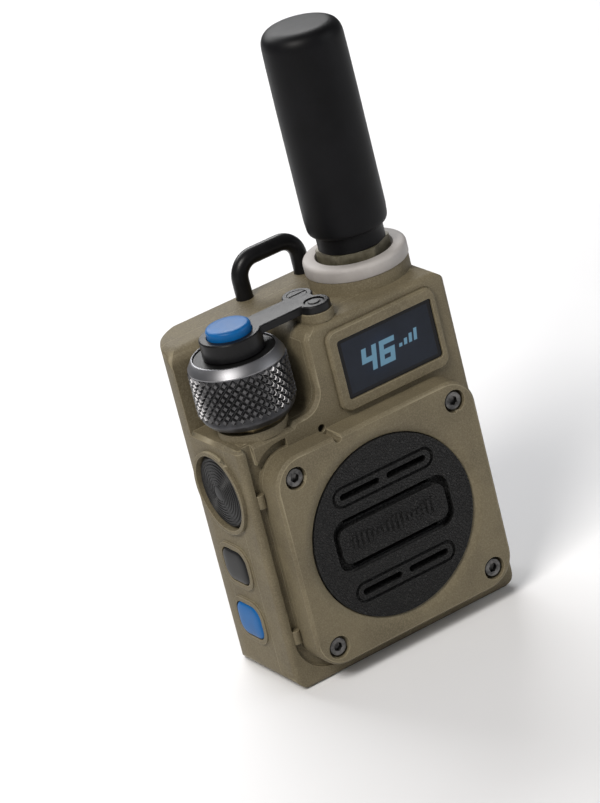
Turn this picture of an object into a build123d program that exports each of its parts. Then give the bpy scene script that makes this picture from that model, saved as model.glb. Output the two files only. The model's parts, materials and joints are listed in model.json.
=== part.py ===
from build123d import *
import os
from math import cos, radians, sin, tan

os.makedirs("parts", exist_ok=True)

# Handheld push-to-talk radio. Millimetres, +Z up, front faces -Y.
# The origin is the centre of the body's flat bottom face.

# ---------------------------------------------------------------- case sizes
BODY_W = 52.0
BODY_D = 29.4
BODY_H = 68.1
WALL = 2.0
FACE_Y = -BODY_D / 2
REAR_Y = BODY_D / 2
FRONT_DEPTH = 5.55
REAR_DEPTH = 6.4
FRONT_SEAM = FACE_Y + FRONT_DEPTH
REAR_SEAM = REAR_Y - REAR_DEPTH
SIDE_X = BODY_W / 2
REAR_CORNER_R = 12.0
FRONT_CORNER_R = 1.2
REAR_CHAMFER = 0.7
LOW_R = 3.8
TOP_R = 3.2
FIT = 0.05
GAP = 0.25

# ---------------------------------------------------------------- volume knob
KNOB_X = -SIDE_X + 8.3
KNOB_Y = -7.75
KNOB_R = 9.6
KNOB_Z0 = BODY_H - 13.4
KNOB_Z1 = BODY_H - 0.2
NOTCH_Z = BODY_H - 16.4
NOTCH_STEP = 0.8
STEP_X = KNOB_X + 5.2
NOTCH_X = KNOB_X + KNOB_R + 1.8
NOTCH_Y = KNOB_Y + KNOB_R + 0.65
NOTCH_R = 5.0
LIP_R = 2.6
DECK_T = 2.0
SHAFT_Z0 = BODY_H - 20.7
SHAFT_R = 3.0
BUSH_R = 4.2
ENC_HALF = 4.6
ENC_H = 3.0

# ---------------------------------------------------------------- button bridge
ARM_T = 1.6
ARM_Z1 = BODY_H + 3.5
ARM_Z0 = ARM_Z1 - ARM_T
ARM_HALF = 3.2
HEAD_X = -0.4
LOBE_R = 3.0
LOBE_DY = 3.05
PAD_GROW = 0.3
COLLAR_R = 6.0
COLLAR_Z0 = BODY_H - 0.2
TOP_BUTTON_R = 4.36
TOP_BUTTON_Z1 = BODY_H + 5.3
FLANGE_Z = ARM_Z1 - 1.9

# ---------------------------------------------------------------- speaker cover
PLATE_X = 0.45
PLATE_W = 45.9
PLATE_H = 44.3
PLATE_Z = 26.35
PLATE_T = 5.35
PLATE_R = 6.0
PLATE_Y = FACE_Y - PLATE_T
SPK_Z = 26.2
GRILLE_R = 18.0
GRILLE_T = 2.0
BEVEL_R = 20.6
LEDGE_R = 16.9
SCREW_DX = 18.4
SCREW_DZ = 18.1
HEAD_R = 1.9
HEAD_BORE_R = 2.3
M2_R = 1.0
MIC_X = -7.4
MIC_Z = BODY_H - 19.3
GROOVE_W = 1.8
GROOVE_D = 1.2
PEG_R = 1.0

# ---------------------------------------------------------------- display
GLASS_X0 = -0.5
GLASS_X1 = 21.4
GLASS_Z0 = BODY_H - 16.3
GLASS_Z1 = BODY_H - 4
BEZEL_X0 = -2.4
BEZEL_X1 = 22.6
BEZEL_Z0 = BODY_H - 18.5
BEZEL_Z1 = BODY_H - 1.8
BEZEL_PROUD = 1.0
BEZEL_SINK = 0.3
GLASS_PROUD = 0.6
GLASS_X = (GLASS_X0 + GLASS_X1) / 2
GLASS_Z = (GLASS_Z0 + GLASS_Z1) / 2
BEZEL_X = (BEZEL_X0 + BEZEL_X1) / 2
BEZEL_Z = (BEZEL_Z0 + BEZEL_Z1) / 2

# ---------------------------------------------------------------- antenna
ANT_X = SIDE_X - 10.1
ANT_Y = -0.85
BOSS_R = 10.0
BOSS_H = 2.7
RING_R = 10.2
RING_HOLE = 7.55
RING_H = 2.8
NUT_R = 7.35
NUT_H = 4.2
NECK_R = 6.6
NECK_H = 3.4
ANT_R = 8.05
ANT_TOP = BODY_H + 51.8
CONN_R = 3.1
RING_Z0 = BODY_H + BOSS_H
NUT_Z1 = RING_Z0 + NUT_H
ANT_Z0 = NUT_Z1 + NECK_H

# ---------------------------------------------------------------- lanyard loop
LOOP_R = 1.7
LOOP_X0 = -2.75
LOOP_X1 = 10.8
LOOP_Y = 12.0
LOOP_Z = BODY_H + 7.5
LOOP_BEND = 3.8
LOOP_FOOT_Z = BODY_H - 5.7

# ---------------------------------------------------------------- side controls
PTT_R = 7.5
PTT_Y = FACE_Y + WALL + PTT_R + 0.8
PTT_Z = 40.85
PTT_RIM_R = PTT_R + 1.0
PTT_RIM_H = 0.8
PTT_PROUD = 0.8
KEY_Y = -2.9
KEY_W = 8.6
KEY_H = 7.0
KEY_R = 2.4
KEY_PROUD = 0.8
KEY_RIM = 1.1
KEY_RIM_H = 0.5
KEY_Z_TOP = 24.65
KEY_Z_LOW = 12.8
BOARD_X = -SIDE_X + 5.9
BOARD_T = 1.0

# ---------------------------------------------------------------- inside
PCB_Y = -1.5
PCB_T = 1.0
CASE_SCREW_X = 17.0
CASE_LOW_Z = 4.2
CASE_HIGH_Z = BODY_H - 4.1
CASE_SINK = 2.6
CASE_HEAD_R = 1.7
CASE_BOSS_R = 2.4
USB_Z = 24.5
USB_Y = 1.1
USB_W = 9.0
USB_H = 3.2
FLAP_Z0 = 18.9
FLAP_Z1 = 31.0
FLAP_HALF = 3.3
FLAP_T = 1.15
FLAP_PIN_Z = 17.9
FLAP_PIN_X = SIDE_X - 0.9
FLAP_PIN_R = 0.5
BARREL_R = 1.0


def front_plane(y):
    """A sketch plane across the part at depth y that looks out of the front."""
    return Plane.XZ.offset(-y)


def side_plane(x):
    """A sketch plane at the side position x; its local axes are (Y, Z)."""
    return Plane.YZ.offset(x)


def save(part, label):
    part.label = label
    export_step(part, f"parts/{label}.step")


# ---------------------------------------------------------------- tool solids
def case_block(inset, y0, y1):
    """The case's outer form between two depths, all its walls moved in by inset."""
    with BuildPart() as block:
        with BuildSketch(front_plane(y1)) as outline:
            with Locations((0, BODY_H / 2)):
                Rectangle(BODY_W - 2 * inset, BODY_H - 2 * inset)
            fillet(outline.vertices().group_by(Axis.Y)[0], LOW_R - inset)
            fillet(outline.vertices().group_by(Axis.Y)[-1], TOP_R - inset)
        extrude(amount=y1 - y0)
        # seen from above, the rear corners are widely rounded
        with BuildSketch(Plane.XY.offset(-1)) as plan:
            Rectangle(BODY_W - 2 * inset, BODY_D - 2 * inset)
            fillet(plan.vertices().group_by(Axis.Y)[-1], REAR_CORNER_R - inset)
            if inset == 0:
                fillet(plan.vertices().group_by(Axis.Y)[0], FRONT_CORNER_R)
        extrude(amount=BODY_H + 2, mode=Mode.INTERSECT)
        # the rear face's top and bottom edges are bevelled, the front's rounded
        if inset == 0:
            with BuildSketch(side_plane(-SIDE_X - 1)) as flank:
                with Locations((0, BODY_H / 2)):
                    Rectangle(BODY_D, BODY_H)
                chamfer(flank.vertices().group_by(Axis.X)[-1], REAR_CHAMFER)
                fillet(flank.vertices().group_by(Axis.X)[0], FRONT_CORNER_R)
            extrude(amount=BODY_W + 2, mode=Mode.INTERSECT)
    return block.part


def notch_block(grow):
    """The open corner that the knob turns in, its walls moved out by grow."""
    left = -SIDE_X - 10
    right = NOTCH_X + grow
    rear = NOTCH_Y + grow
    floor = NOTCH_Z - grow
    top = BODY_H + 10
    with BuildPart() as block:
        with BuildSketch(Plane.XY.offset(floor - 1)) as plan:
            with Locations(((left + right) / 2, rear - 20)):
                Rectangle(right - left, 40)
            rear_right = plan.vertices().group_by(Axis.Y)[-1].sort_by(Axis.X)[-1]
            fillet(rear_right, NOTCH_R + grow)
        extrude(amount=top - floor + 1)
        with BuildSketch(front_plane(30)) as profile:
            with BuildLine():
                Polyline(
                    (left, floor),
                    (STEP_X - NOTCH_STEP, floor),
                    (STEP_X, floor + NOTCH_STEP),
                    (right, floor + NOTCH_STEP),
                    (right, top),
                    (left, top),
                    close=True,
                )
            make_face()
            inner = [v for v in profile.vertices() if abs(v.X - right) < 0.01]
            fillet(sorted(inner, key=lambda v: v.Y)[:1], 4.2)
        extrude(amount=60, mode=Mode.INTERSECT)
    return block.part


outer_full = case_block(0, FACE_Y, REAR_Y)
inner = case_block(WALL, FACE_Y + WALL, REAR_Y - WALL)
notch = notch_block(0)
notch_walls = notch_block(DECK_T)
with BuildPart() as notch_lip:
    with BuildLine() as lip_path:
        FilletPolyline(
            (NOTCH_X, FACE_Y - 2, BODY_H),
            (NOTCH_X, NOTCH_Y, BODY_H),
            (-SIDE_X - 2, NOTCH_Y, BODY_H),
            radius=NOTCH_R,
        )
    with BuildSketch(Plane.XZ.offset(2 - FACE_Y)):
        with BuildLine():
            Line((NOTCH_X - 0.5, BODY_H + 0.5), (NOTCH_X - 0.5, BODY_H - LIP_R))
            Line((NOTCH_X - 0.5, BODY_H - LIP_R), (NOTCH_X, BODY_H - LIP_R))
            RadiusArc((NOTCH_X, BODY_H - LIP_R), (NOTCH_X + LIP_R, BODY_H), LIP_R)
            Line((NOTCH_X + LIP_R, BODY_H), (NOTCH_X + LIP_R, BODY_H + 0.5))
            Line((NOTCH_X + LIP_R, BODY_H + 0.5), (NOTCH_X - 0.5, BODY_H + 0.5))
        make_face()
    sweep(path=lip_path.wires()[0])
with BuildPart() as shaped:
    add(outer_full)
    add(notch, mode=Mode.SUBTRACT)
    add(notch_lip.part, mode=Mode.SUBTRACT)
    # bevel along the front edge of the notch
    notch_front = shaped.edges().filter_by(
        lambda e: abs(e.center().Y - FACE_Y) < 0.01
        and e.center().X < NOTCH_X + 1.2
        and e.center().Z > NOTCH_Z - 0.5
        and abs(e.center().X) < SIDE_X - 1.5
    )
    chamfer(notch_front, 0.7)
outer = shaped.part


def slab(y0, y1):
    """A block that covers the whole case between two depths."""
    with BuildPart() as block:
        with BuildSketch(front_plane(y1)):
            with Locations((0, BODY_H / 2 + 10)):
                Rectangle(BODY_W + 40, BODY_H + 60)
        extrude(amount=y1 - y0)
    return block.part


def deck_tongue(shrink):
    """The knob deck's front strip, which the front shell leaves free."""
    x0 = -SIDE_X + WALL + shrink
    x1 = NOTCH_X + DECK_T - shrink
    with BuildPart() as tongue:
        with BuildSketch(Plane.XY.offset(NOTCH_Z - DECK_T - 1)):
            y0 = FACE_Y + WALL + shrink
            with Locations(((x0 + x1) / 2, (y0 + FRONT_SEAM) / 2)):
                Rectangle(x1 - x0, FRONT_SEAM - y0)
        extrude(amount=40)
    return tongue.part


SCREW_SPOTS = [
    (PLATE_X + x, SPK_Z + z) for x in (-SCREW_DX, SCREW_DX) for z in (-SCREW_DZ, SCREW_DZ)
]
PLATE_LEFT = PLATE_X - PLATE_W / 2
GROOVE_X = PLATE_LEFT - GROOVE_W / 2
LOW_SPOTS = [(x, CASE_LOW_Z) for x in (-CASE_SCREW_X, CASE_SCREW_X)]
HIGH_SPOTS = [(x, CASE_HIGH_Z) for x in (-CASE_SCREW_X, CASE_SCREW_X)]
CASE_SPOTS = LOW_SPOTS + HIGH_SPOTS
LOBES = [(HEAD_X, KNOB_Y - LOBE_DY), (HEAD_X, KNOB_Y + LOBE_DY)]
KEY_SPOTS = [(KEY_Y, KEY_Z_LOW), (KEY_Y, KEY_Z_TOP)]

# ---------------------------------------------------------------- front shell
with BuildPart() as front_shell:
    add(outer)
    add(slab(FACE_Y - 5, FRONT_SEAM), mode=Mode.INTERSECT)
    # the room inside, with walls left round the notch
    add(inner - notch_walls, mode=Mode.SUBTRACT)
    # the knob deck belongs to the middle frame
    add(deck_tongue(0) & notch_walls & inner, mode=Mode.SUBTRACT)
    # bosses for the speaker-cover screws and the long case screws
    with BuildSketch(front_plane(FRONT_SEAM)):
        with Locations(SCREW_SPOTS):
            Circle(2.3)
        with Locations(LOW_SPOTS):
            Circle(CASE_BOSS_R)
    extrude(amount=FRONT_DEPTH - WALL)
    with BuildSketch(front_plane(FRONT_SEAM)):
        with Locations(SCREW_SPOTS):
            Circle(M2_R)
    extrude(amount=FRONT_DEPTH + 1, mode=Mode.SUBTRACT)
    with BuildSketch(front_plane(FRONT_SEAM)):
        with Locations(LOW_SPOTS):
            Circle(M2_R)
    extrude(amount=3.0, mode=Mode.SUBTRACT)
    # speaker opening
    with BuildSketch(front_plane(FRONT_SEAM)):
        with Locations((0, SPK_Z)):
            Circle(15.2)
    extrude(amount=FRONT_DEPTH + 1, mode=Mode.SUBTRACT)
    # microphone hole
    with BuildSketch(front_plane(FRONT_SEAM)):
        with Locations((MIC_X, MIC_Z)):
            Circle(0.8)
    extrude(amount=FRONT_DEPTH + 1, mode=Mode.SUBTRACT)
    # display: bezel pocket, window pocket, opening
    with BuildSketch(front_plane(FACE_Y + BEZEL_SINK)):
        with Locations((BEZEL_X, BEZEL_Z)):
            RectangleRounded(
                BEZEL_X1 - BEZEL_X0 + 2 * FIT, BEZEL_Z1 - BEZEL_Z0 + 2 * FIT, 2.1
            )
    extrude(amount=3, mode=Mode.SUBTRACT)
    with BuildSketch(front_plane(FACE_Y + 1.5)):
        with Locations((GLASS_X, GLASS_Z)):
            RectangleRounded(GLASS_X1 - GLASS_X0 + 1.4, GLASS_Z1 - GLASS_Z0 + 1.4, 1.2)
    extrude(amount=3, mode=Mode.SUBTRACT)
    with BuildSketch(front_plane(FRONT_SEAM)):
        with Locations((GLASS_X, GLASS_Z)):
            RectangleRounded(GLASS_X1 - GLASS_X0 - 0.4, GLASS_Z1 - GLASS_Z0 - 0.4, 0.8)
    extrude(amount=FRONT_DEPTH + 1, mode=Mode.SUBTRACT)
    # groove down the left of the speaker cover and round its lower corner
    with BuildSketch(front_plane(FACE_Y + GROOVE_D)):
        with Locations((PLATE_X, PLATE_Z)):
            RectangleRounded(
                PLATE_W + 2 * GROOVE_W, PLATE_H + 2 * GROOVE_W, PLATE_R + GROOVE_W
            )
        with Locations((GROOVE_X, PLATE_Z + 15)):
            Rectangle(GROOVE_W, 40)
        with Locations((PLATE_X, PLATE_Z)):
            RectangleRounded(PLATE_W, PLATE_H, PLATE_R, mode=Mode.SUBTRACT)
        with Locations((PLATE_LEFT - GROOVE_W + 4.5, PLATE_Z)):
            Rectangle(9.0, 2 * PLATE_H, mode=Mode.INTERSECT)
    extrude(amount=3, mode=Mode.SUBTRACT)
    # room for the middle frame's push-to-talk rim
    with BuildSketch(side_plane(-SIDE_X - 1)):
        with Locations((PTT_Y, PTT_Z)):
            Circle(PTT_RIM_R + FIT)
    extrude(amount=WALL + 1.2, mode=Mode.SUBTRACT)
    # holes for the front screw of the button bridge
    with BuildSketch(Plane.XY.offset(BODY_H - WALL - 1)):
        with Locations(LOBES[0]):
            Circle(M2_R)
    extrude(amount=WALL + 2, mode=Mode.SUBTRACT)

save(front_shell.part, "front_shell")

# ---------------------------------------------------------------- middle frame
with BuildPart() as mid_frame:
    add(outer)
    add(slab(FRONT_SEAM, REAR_SEAM), mode=Mode.INTERSECT)
    add(inner - notch_walls, mode=Mode.SUBTRACT)
    # the knob deck's front strip
    add((deck_tongue(FIT) & notch_walls & inner) - notch)
    # raised ring under the knob
    with BuildSketch(Plane.XY.offset(NOTCH_Z)):
        with Locations((KNOB_X, KNOB_Y)):
            Circle(6.8)
    extrude(amount=1.6)
    with BuildSketch(Plane.XY.offset(NOTCH_Z - DECK_T - 1)):
        with Locations((KNOB_X, KNOB_Y)):
            Circle(BUSH_R + FIT)
    extrude(amount=8, mode=Mode.SUBTRACT)
    # antenna boss
    with BuildSketch(Plane.XY.offset(BODY_H)):
        with Locations((ANT_X, ANT_Y)):
            Circle(BOSS_R)
    extrude(amount=BOSS_H)
    with BuildSketch(Plane.XY.offset(BODY_H - TOP_R)):
        with Locations((ANT_X, ANT_Y)):
            Circle(BOSS_R)
        with Locations((SIDE_X, ANT_Y)):
            Rectangle(7.0, 2 * BOSS_R, mode=Mode.INTERSECT)
    extrude(amount=TOP_R)
    with BuildSketch(Plane.XY.offset(BODY_H - WALL - 1)):
        with Locations((ANT_X, ANT_Y)):
            Circle(CONN_R + FIT)
    extrude(amount=BOSS_H + WALL + 2, mode=Mode.SUBTRACT)
    # push-to-talk rim and its hole
    with BuildSketch(side_plane(-SIDE_X - PTT_RIM_H)):
        with Locations((PTT_Y, PTT_Z)):
            Circle(PTT_RIM_R)
    extrude(amount=PTT_RIM_H + WALL)
    with BuildSketch(side_plane(-SIDE_X - PTT_RIM_H - 1)):
        with Locations((PTT_Y, PTT_Z)):
            Circle(PTT_R + GAP)
    extrude(amount=PTT_RIM_H + WALL + 1.5, mode=Mode.SUBTRACT)
    # rims and holes for the two side keys
    with BuildSketch(side_plane(-SIDE_X - KEY_RIM_H)):
        with Locations(KEY_SPOTS):
            RectangleRounded(KEY_W + 2 * KEY_RIM, KEY_H + 2 * KEY_RIM, KEY_R + KEY_RIM)
    extrude(amount=KEY_RIM_H + WALL)
    with BuildSketch(side_plane(-SIDE_X - KEY_RIM_H - 1)):
        with Locations(KEY_SPOTS):
            RectangleRounded(KEY_W + 2 * 0.15, KEY_H + 2 * 0.15, KEY_R + 0.15)
    extrude(amount=KEY_RIM_H + WALL + 1.5, mode=Mode.SUBTRACT)
    # posts for the case screws
    with BuildSketch(front_plane(REAR_SEAM)):
        with Locations(LOW_SPOTS):
            Circle(CASE_BOSS_R)
    extrude(amount=REAR_SEAM - FRONT_SEAM)
    with BuildSketch(front_plane(REAR_SEAM)):
        with Locations(HIGH_SPOTS):
            Circle(CASE_BOSS_R)
    extrude(amount=REAR_SEAM - 4.1)
    with BuildSketch(front_plane(REAR_SEAM)):
        with Locations(LOW_SPOTS):
            Circle(M2_R)
    extrude(amount=REAR_SEAM - FRONT_SEAM, mode=Mode.SUBTRACT)
    with BuildSketch(front_plane(REAR_SEAM)):
        with Locations(HIGH_SPOTS):
            Circle(M2_R)
    extrude(amount=3.8, mode=Mode.SUBTRACT)
    # thicker wall, port hole and flap recess on the right side
    with BuildSketch(side_plane(SIDE_X - WALL - 1.5)):
        with Locations((USB_Y, 24.0)):
            Rectangle(10.4, 18.4)
    extrude(amount=2.0)
    with BuildSketch(side_plane(SIDE_X - WALL - 3)):
        with Locations((USB_Y, USB_Z)):
            RectangleRounded(USB_H + 0.6, USB_W + 0.6, 1.7)
    extrude(amount=WALL + 5, mode=Mode.SUBTRACT)
    with BuildSketch(side_plane(SIDE_X - FLAP_T)):
        with Locations((USB_Y, (FLAP_Z0 + FLAP_Z1) / 2)):
            Rectangle(2 * FLAP_HALF + 2 * 0.15, FLAP_Z1 - FLAP_Z0 + 2 * 0.15)
    extrude(amount=5, mode=Mode.SUBTRACT)
    with BuildSketch(side_plane(FLAP_PIN_X - BARREL_R - 0.15)):
        with Locations((USB_Y, FLAP_PIN_Z - 0.1)):
            Rectangle(2 * FLAP_HALF + 2 * 0.15, 3.2)
    extrude(amount=5, mode=Mode.SUBTRACT)
    with BuildSketch(front_plane(USB_Y + FLAP_HALF + 1.2)):
        with Locations((FLAP_PIN_X, FLAP_PIN_Z)):
            Circle(FLAP_PIN_R)
    extrude(amount=2 * FLAP_HALF + 2.4, mode=Mode.SUBTRACT)
    # hole for the rear screw of the button bridge
    with BuildSketch(Plane.XY.offset(BODY_H - WALL - 1)):
        with Locations(LOBES[1]):
            Circle(M2_R)
    extrude(amount=WALL + 2, mode=Mode.SUBTRACT)
    # seat for the rear gasket
    rear_rim = case_block(0.7, REAR_SEAM - 0.8, REAR_SEAM) - case_block(
        1.5, REAR_SEAM - 1.8, REAR_SEAM + 1
    )
    add(rear_rim, mode=Mode.SUBTRACT)
save(mid_frame.part, "mid_frame")

with BuildPart() as rear_gasket:
    add(case_block(0.75, REAR_SEAM - 0.75, REAR_SEAM))
    add(case_block(1.45, REAR_SEAM - 1.8, REAR_SEAM + 1), mode=Mode.SUBTRACT)
save(rear_gasket.part, "rear_gasket")

# ---------------------------------------------------------------- rear cover
with BuildPart() as rear_cover:
    add(outer)
    add(slab(REAR_SEAM, REAR_Y + 5), mode=Mode.INTERSECT)
    add(inner, mode=Mode.SUBTRACT)
    # posts for the case screws and a block that holds the lanyard loop
    with BuildSketch(front_plane(REAR_Y - WALL)):
        with Locations(CASE_SPOTS):
            Circle(CASE_BOSS_R)
    extrude(amount=REAR_DEPTH - WALL)
    with BuildSketch(Plane.XY.offset(LOOP_FOOT_Z - 1.5)):
        with Locations((LOOP_X0, LOOP_Y), (LOOP_X1, LOOP_Y)):
            Rectangle(2 * LOOP_R + 1.6, 2 * LOOP_R + 1.6)
    extrude(amount=BODY_H - WALL - LOOP_FOOT_Z + 1.6)
    add(outer, mode=Mode.INTERSECT)
    with BuildSketch(Plane.XY.offset(LOOP_FOOT_Z)):
        with Locations((LOOP_X0, LOOP_Y), (LOOP_X1, LOOP_Y)):
            Circle(LOOP_R + FIT)
    extrude(amount=20, mode=Mode.SUBTRACT)
    with BuildSketch(front_plane(REAR_Y + 1)):
        with Locations(CASE_SPOTS):
            Circle(M2_R + 0.1)
    extrude(amount=REAR_DEPTH + 2, mode=Mode.SUBTRACT)
    with BuildSketch(front_plane(REAR_Y + 1)):
        with Locations(CASE_SPOTS):
            Circle(CASE_HEAD_R + 0.2)
    extrude(amount=1 + CASE_SINK, mode=Mode.SUBTRACT)
save(rear_cover.part, "rear_cover")

# ---------------------------------------------------------------- case screws
with BuildPart() as case_screws:
    with BuildSketch(front_plane(REAR_Y - CASE_SINK + 1.6)):
        with Locations(CASE_SPOTS):
            Circle(CASE_HEAD_R)
    extrude(amount=1.6)
    with BuildSketch(front_plane(REAR_Y - CASE_SINK)):
        with Locations(LOW_SPOTS):
            Circle(M2_R - 0.03)
    extrude(amount=REAR_Y - CASE_SINK - (FRONT_SEAM - 2.6))
    with BuildSketch(front_plane(REAR_Y - CASE_SINK)):
        with Locations(HIGH_SPOTS):
            Circle(M2_R - 0.03)
    extrude(amount=REAR_Y - CASE_SINK - (REAR_SEAM - 3.6))
    with BuildSketch(front_plane(REAR_Y - CASE_SINK + 1.6)):
        with Locations(CASE_SPOTS):
            RegularPolygon(0.9, 6)
    extrude(amount=1.0, mode=Mode.SUBTRACT)
save(case_screws.part, "case_screws")

# ---------------------------------------------------------------- speaker cover
with BuildPart() as speaker_cover:
    with BuildSketch(front_plane(FACE_Y)):
        with Locations((PLATE_X, PLATE_Z)):
            RectangleRounded(PLATE_W, PLATE_H, PLATE_R)
    extrude(amount=PLATE_T)
    rim = speaker_cover.edges().group_by(Axis.Y)[0]
    chamfer(rim, 0.6)
    # sloped ring down to the grille, then the grille's seat
    with BuildSketch(front_plane(PLATE_Y + 0.6)):
        with Locations((0, SPK_Z)):
            Circle(GRILLE_R + GAP)
    slope = (BEVEL_R - GRILLE_R - GAP) / 0.6
    extrude(amount=0.6, taper=-75.6, mode=Mode.SUBTRACT)
    with BuildSketch(front_plane(PLATE_Y + GAP + GRILLE_T)):
        with Locations((0, SPK_Z)):
            Circle(GRILLE_R + GAP)
    extrude(amount=5, mode=Mode.SUBTRACT)
    with BuildSketch(front_plane(FACE_Y)):
        with Locations((0, SPK_Z)):
            Circle(LEDGE_R)
    extrude(amount=PLATE_T, mode=Mode.SUBTRACT)
    # counterbored screw holes
    with BuildSketch(front_plane(FACE_Y)):
        with Locations(SCREW_SPOTS):
            Circle(M2_R + 0.1)
    extrude(amount=PLATE_T, mode=Mode.SUBTRACT)
    with BuildSketch(front_plane(PLATE_Y + 2.4)):
        with Locations(SCREW_SPOTS):
            Circle(HEAD_BORE_R)
    extrude(amount=5, mode=Mode.SUBTRACT)
    # sound notch in front of the microphone hole
    with BuildSketch(front_plane(FACE_Y)):
        with Locations((MIC_X, MIC_Z)):
            SlotCenterToCenter(1.6, 1.7, rotation=90)
    extrude(amount=PLATE_T, mode=Mode.SUBTRACT)
save(speaker_cover.part, "speaker_cover")

with BuildPart() as cover_screws:
    with BuildSketch(front_plane(PLATE_Y + 2.4)):
        with Locations(SCREW_SPOTS):
            Circle(HEAD_R)
    extrude(amount=1.9)
    head_rim = cover_screws.edges().group_by(Axis.Y)[0]
    chamfer(head_rim, 0.25)
    with BuildSketch(front_plane(PLATE_Y + 2.4)):
        with Locations(SCREW_SPOTS):
            Circle(M2_R - 0.03)
    extrude(amount=-6.2)
    with BuildSketch(front_plane(PLATE_Y + 0.4)):
        with Locations(SCREW_SPOTS):
            RegularPolygon(0.9, 6)
    extrude(amount=-1.2, mode=Mode.SUBTRACT)
save(cover_screws.part, "cover_screws")

# ---------------------------------------------------------------- grille
BAR_Z = SPK_Z + 0.3
BAR_W = 24.4
BAR_H = 7.4
MOAT_W = 26.8
MOAT_H = 11.0
OVAL_Z = 10.1
OVAL_W = 23.4
OVAL_H = 4.5
with BuildPart() as speaker_grille:
    with BuildSketch(front_plane(PLATE_Y + GAP + GRILLE_T)):
        with Locations((0, SPK_Z)):
            Circle(GRILLE_R)
    extrude(amount=GRILLE_T)
    # moat round the centre bar
    with BuildSketch(front_plane(PLATE_Y + GAP + 1.3)):
        with Locations((0, BAR_Z)):
            RectangleRounded(MOAT_W, MOAT_H, 3.0)
            RectangleRounded(BAR_W, BAR_H, 2.0, mode=Mode.SUBTRACT)
    extrude(amount=3, mode=Mode.SUBTRACT)
    # long shallow ovals above and below, each with a pad left standing
    with BuildSketch(front_plane(PLATE_Y + GAP + 0.45)):
        with Locations((0, SPK_Z + OVAL_Z), (0, SPK_Z - OVAL_Z)):
            RectangleRounded(OVAL_W, OVAL_H, 2.2)
            RectangleRounded(OVAL_W - 1.4, OVAL_H - 1.4, 1.5, mode=Mode.SUBTRACT)
    extrude(amount=3, mode=Mode.SUBTRACT)
    # sound slots through each pad and through the moat's floor
    with BuildSketch(front_plane(PLATE_Y + GAP + GRILLE_T)):
        with Locations(
            (-5.4, SPK_Z + OVAL_Z),
            (5.4, SPK_Z + OVAL_Z),
            (-5.4, SPK_Z - OVAL_Z),
            (5.4, SPK_Z - OVAL_Z),
        ):
            SlotOverall(9.2, 1.4)
        with Locations((0, BAR_Z + 4.65), (0, BAR_Z - 4.65)):
            SlotOverall(20.0, 0.9)
    extrude(amount=GRILLE_T + 1, mode=Mode.SUBTRACT)
save(speaker_grille.part, "speaker_grille")

# ---------------------------------------------------------------- speaker driver
with BuildPart() as speaker_gasket:
    with BuildSketch(front_plane(FACE_Y - 1.5)):
        with Locations((0, SPK_Z)):
            Circle(16.6)
            Circle(14.6, mode=Mode.SUBTRACT)
    extrude(amount=PLATE_T - GAP - GRILLE_T - 1.5)
save(speaker_gasket.part, "speaker_gasket")

with BuildPart() as speaker_basket:
    with BuildSketch(Plane.YZ) as basket_section:
        with BuildLine():
            Polyline(
                (FACE_Y - 1.5, SPK_Z + 14.2),
                (FACE_Y - 1.5, SPK_Z + 16.6),
                (FACE_Y, SPK_Z + 16.6),
                (FACE_Y, SPK_Z + 15.0),
                (FACE_Y + 2.5, SPK_Z + 14.6),
                (FACE_Y + 4.0, SPK_Z + 9.5),
                (FACE_Y + 4.0, SPK_Z + 4.0),
                (FACE_Y + 3.2, SPK_Z + 4.0),
                (FACE_Y + 3.2, SPK_Z + 9.0),
                (FACE_Y + 1.9, SPK_Z + 13.4),
                (FACE_Y - 0.6, SPK_Z + 14.2),
                close=True,
            )
        make_face()
    revolve(axis=Axis((0, 0, SPK_Z), (0, 1, 0)))
save(speaker_basket.part, "speaker_basket")

with BuildPart() as speaker_cone:
    with BuildSketch(Plane.YZ):
        with BuildLine():
            Polyline(
                (FACE_Y - 0.9, SPK_Z),
                (FACE_Y - 0.9, SPK_Z + 3.5),
                (FACE_Y + 0.8, SPK_Z + 5.0),
                (FACE_Y - 0.9, SPK_Z + 12.0),
                (FACE_Y - 0.9, SPK_Z + 14.1),
                (FACE_Y - 0.5, SPK_Z + 14.1),
                (FACE_Y - 0.5, SPK_Z + 12.2),
                (FACE_Y + 1.3, SPK_Z + 5.0),
                (FACE_Y + 1.3, SPK_Z),
                close=True,
            )
        make_face()
    revolve(axis=Axis((0, 0, SPK_Z), (0, 1, 0)))
save(speaker_cone.part, "speaker_cone")

with BuildPart() as speaker_magnet:
    with BuildSketch(front_plane(FACE_Y + 7.6)):
        with Locations((0, SPK_Z)):
            Circle(8.5)
    extrude(amount=3.6)
save(speaker_magnet.part, "speaker_magnet")

# ---------------------------------------------------------------- microphone
with BuildPart() as mic_seal:
    with BuildSketch(front_plane(FACE_Y + WALL + 0.6)):
        with Locations((MIC_X, MIC_Z - 0.2)):
            Circle(1.9)
        with Locations((MIC_X, MIC_Z)):
            Circle(0.9, mode=Mode.SUBTRACT)
    extrude(amount=0.6)
save(mic_seal.part, "mic_seal")

with BuildPart() as microphone:
    with BuildSketch(front_plane(FACE_Y + WALL + 2.3)):
        with Locations((MIC_X, MIC_Z - 0.2)):
            Circle(1.9)
    extrude(amount=1.7)
save(microphone.part, "microphone")

# ---------------------------------------------------------------- groove pegs
with BuildPart() as groove_pegs:
    with Locations(
        (GROOVE_X, FACE_Y + 0.6, 39.05),
        (GROOVE_X, FACE_Y + 0.6, 9.95),
    ):
        Cylinder(PEG_R, 2.7, align=(Align.CENTER, Align.CENTER, Align.MIN))
    with BuildSketch(front_plane(FACE_Y + GROOVE_D)):
        with Locations((GROOVE_X, 26)):
            Rectangle(GROOVE_W - 0.02, 60)
    extrude(amount=8, mode=Mode.INTERSECT)
save(groove_pegs.part, "groove_pegs")

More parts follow.
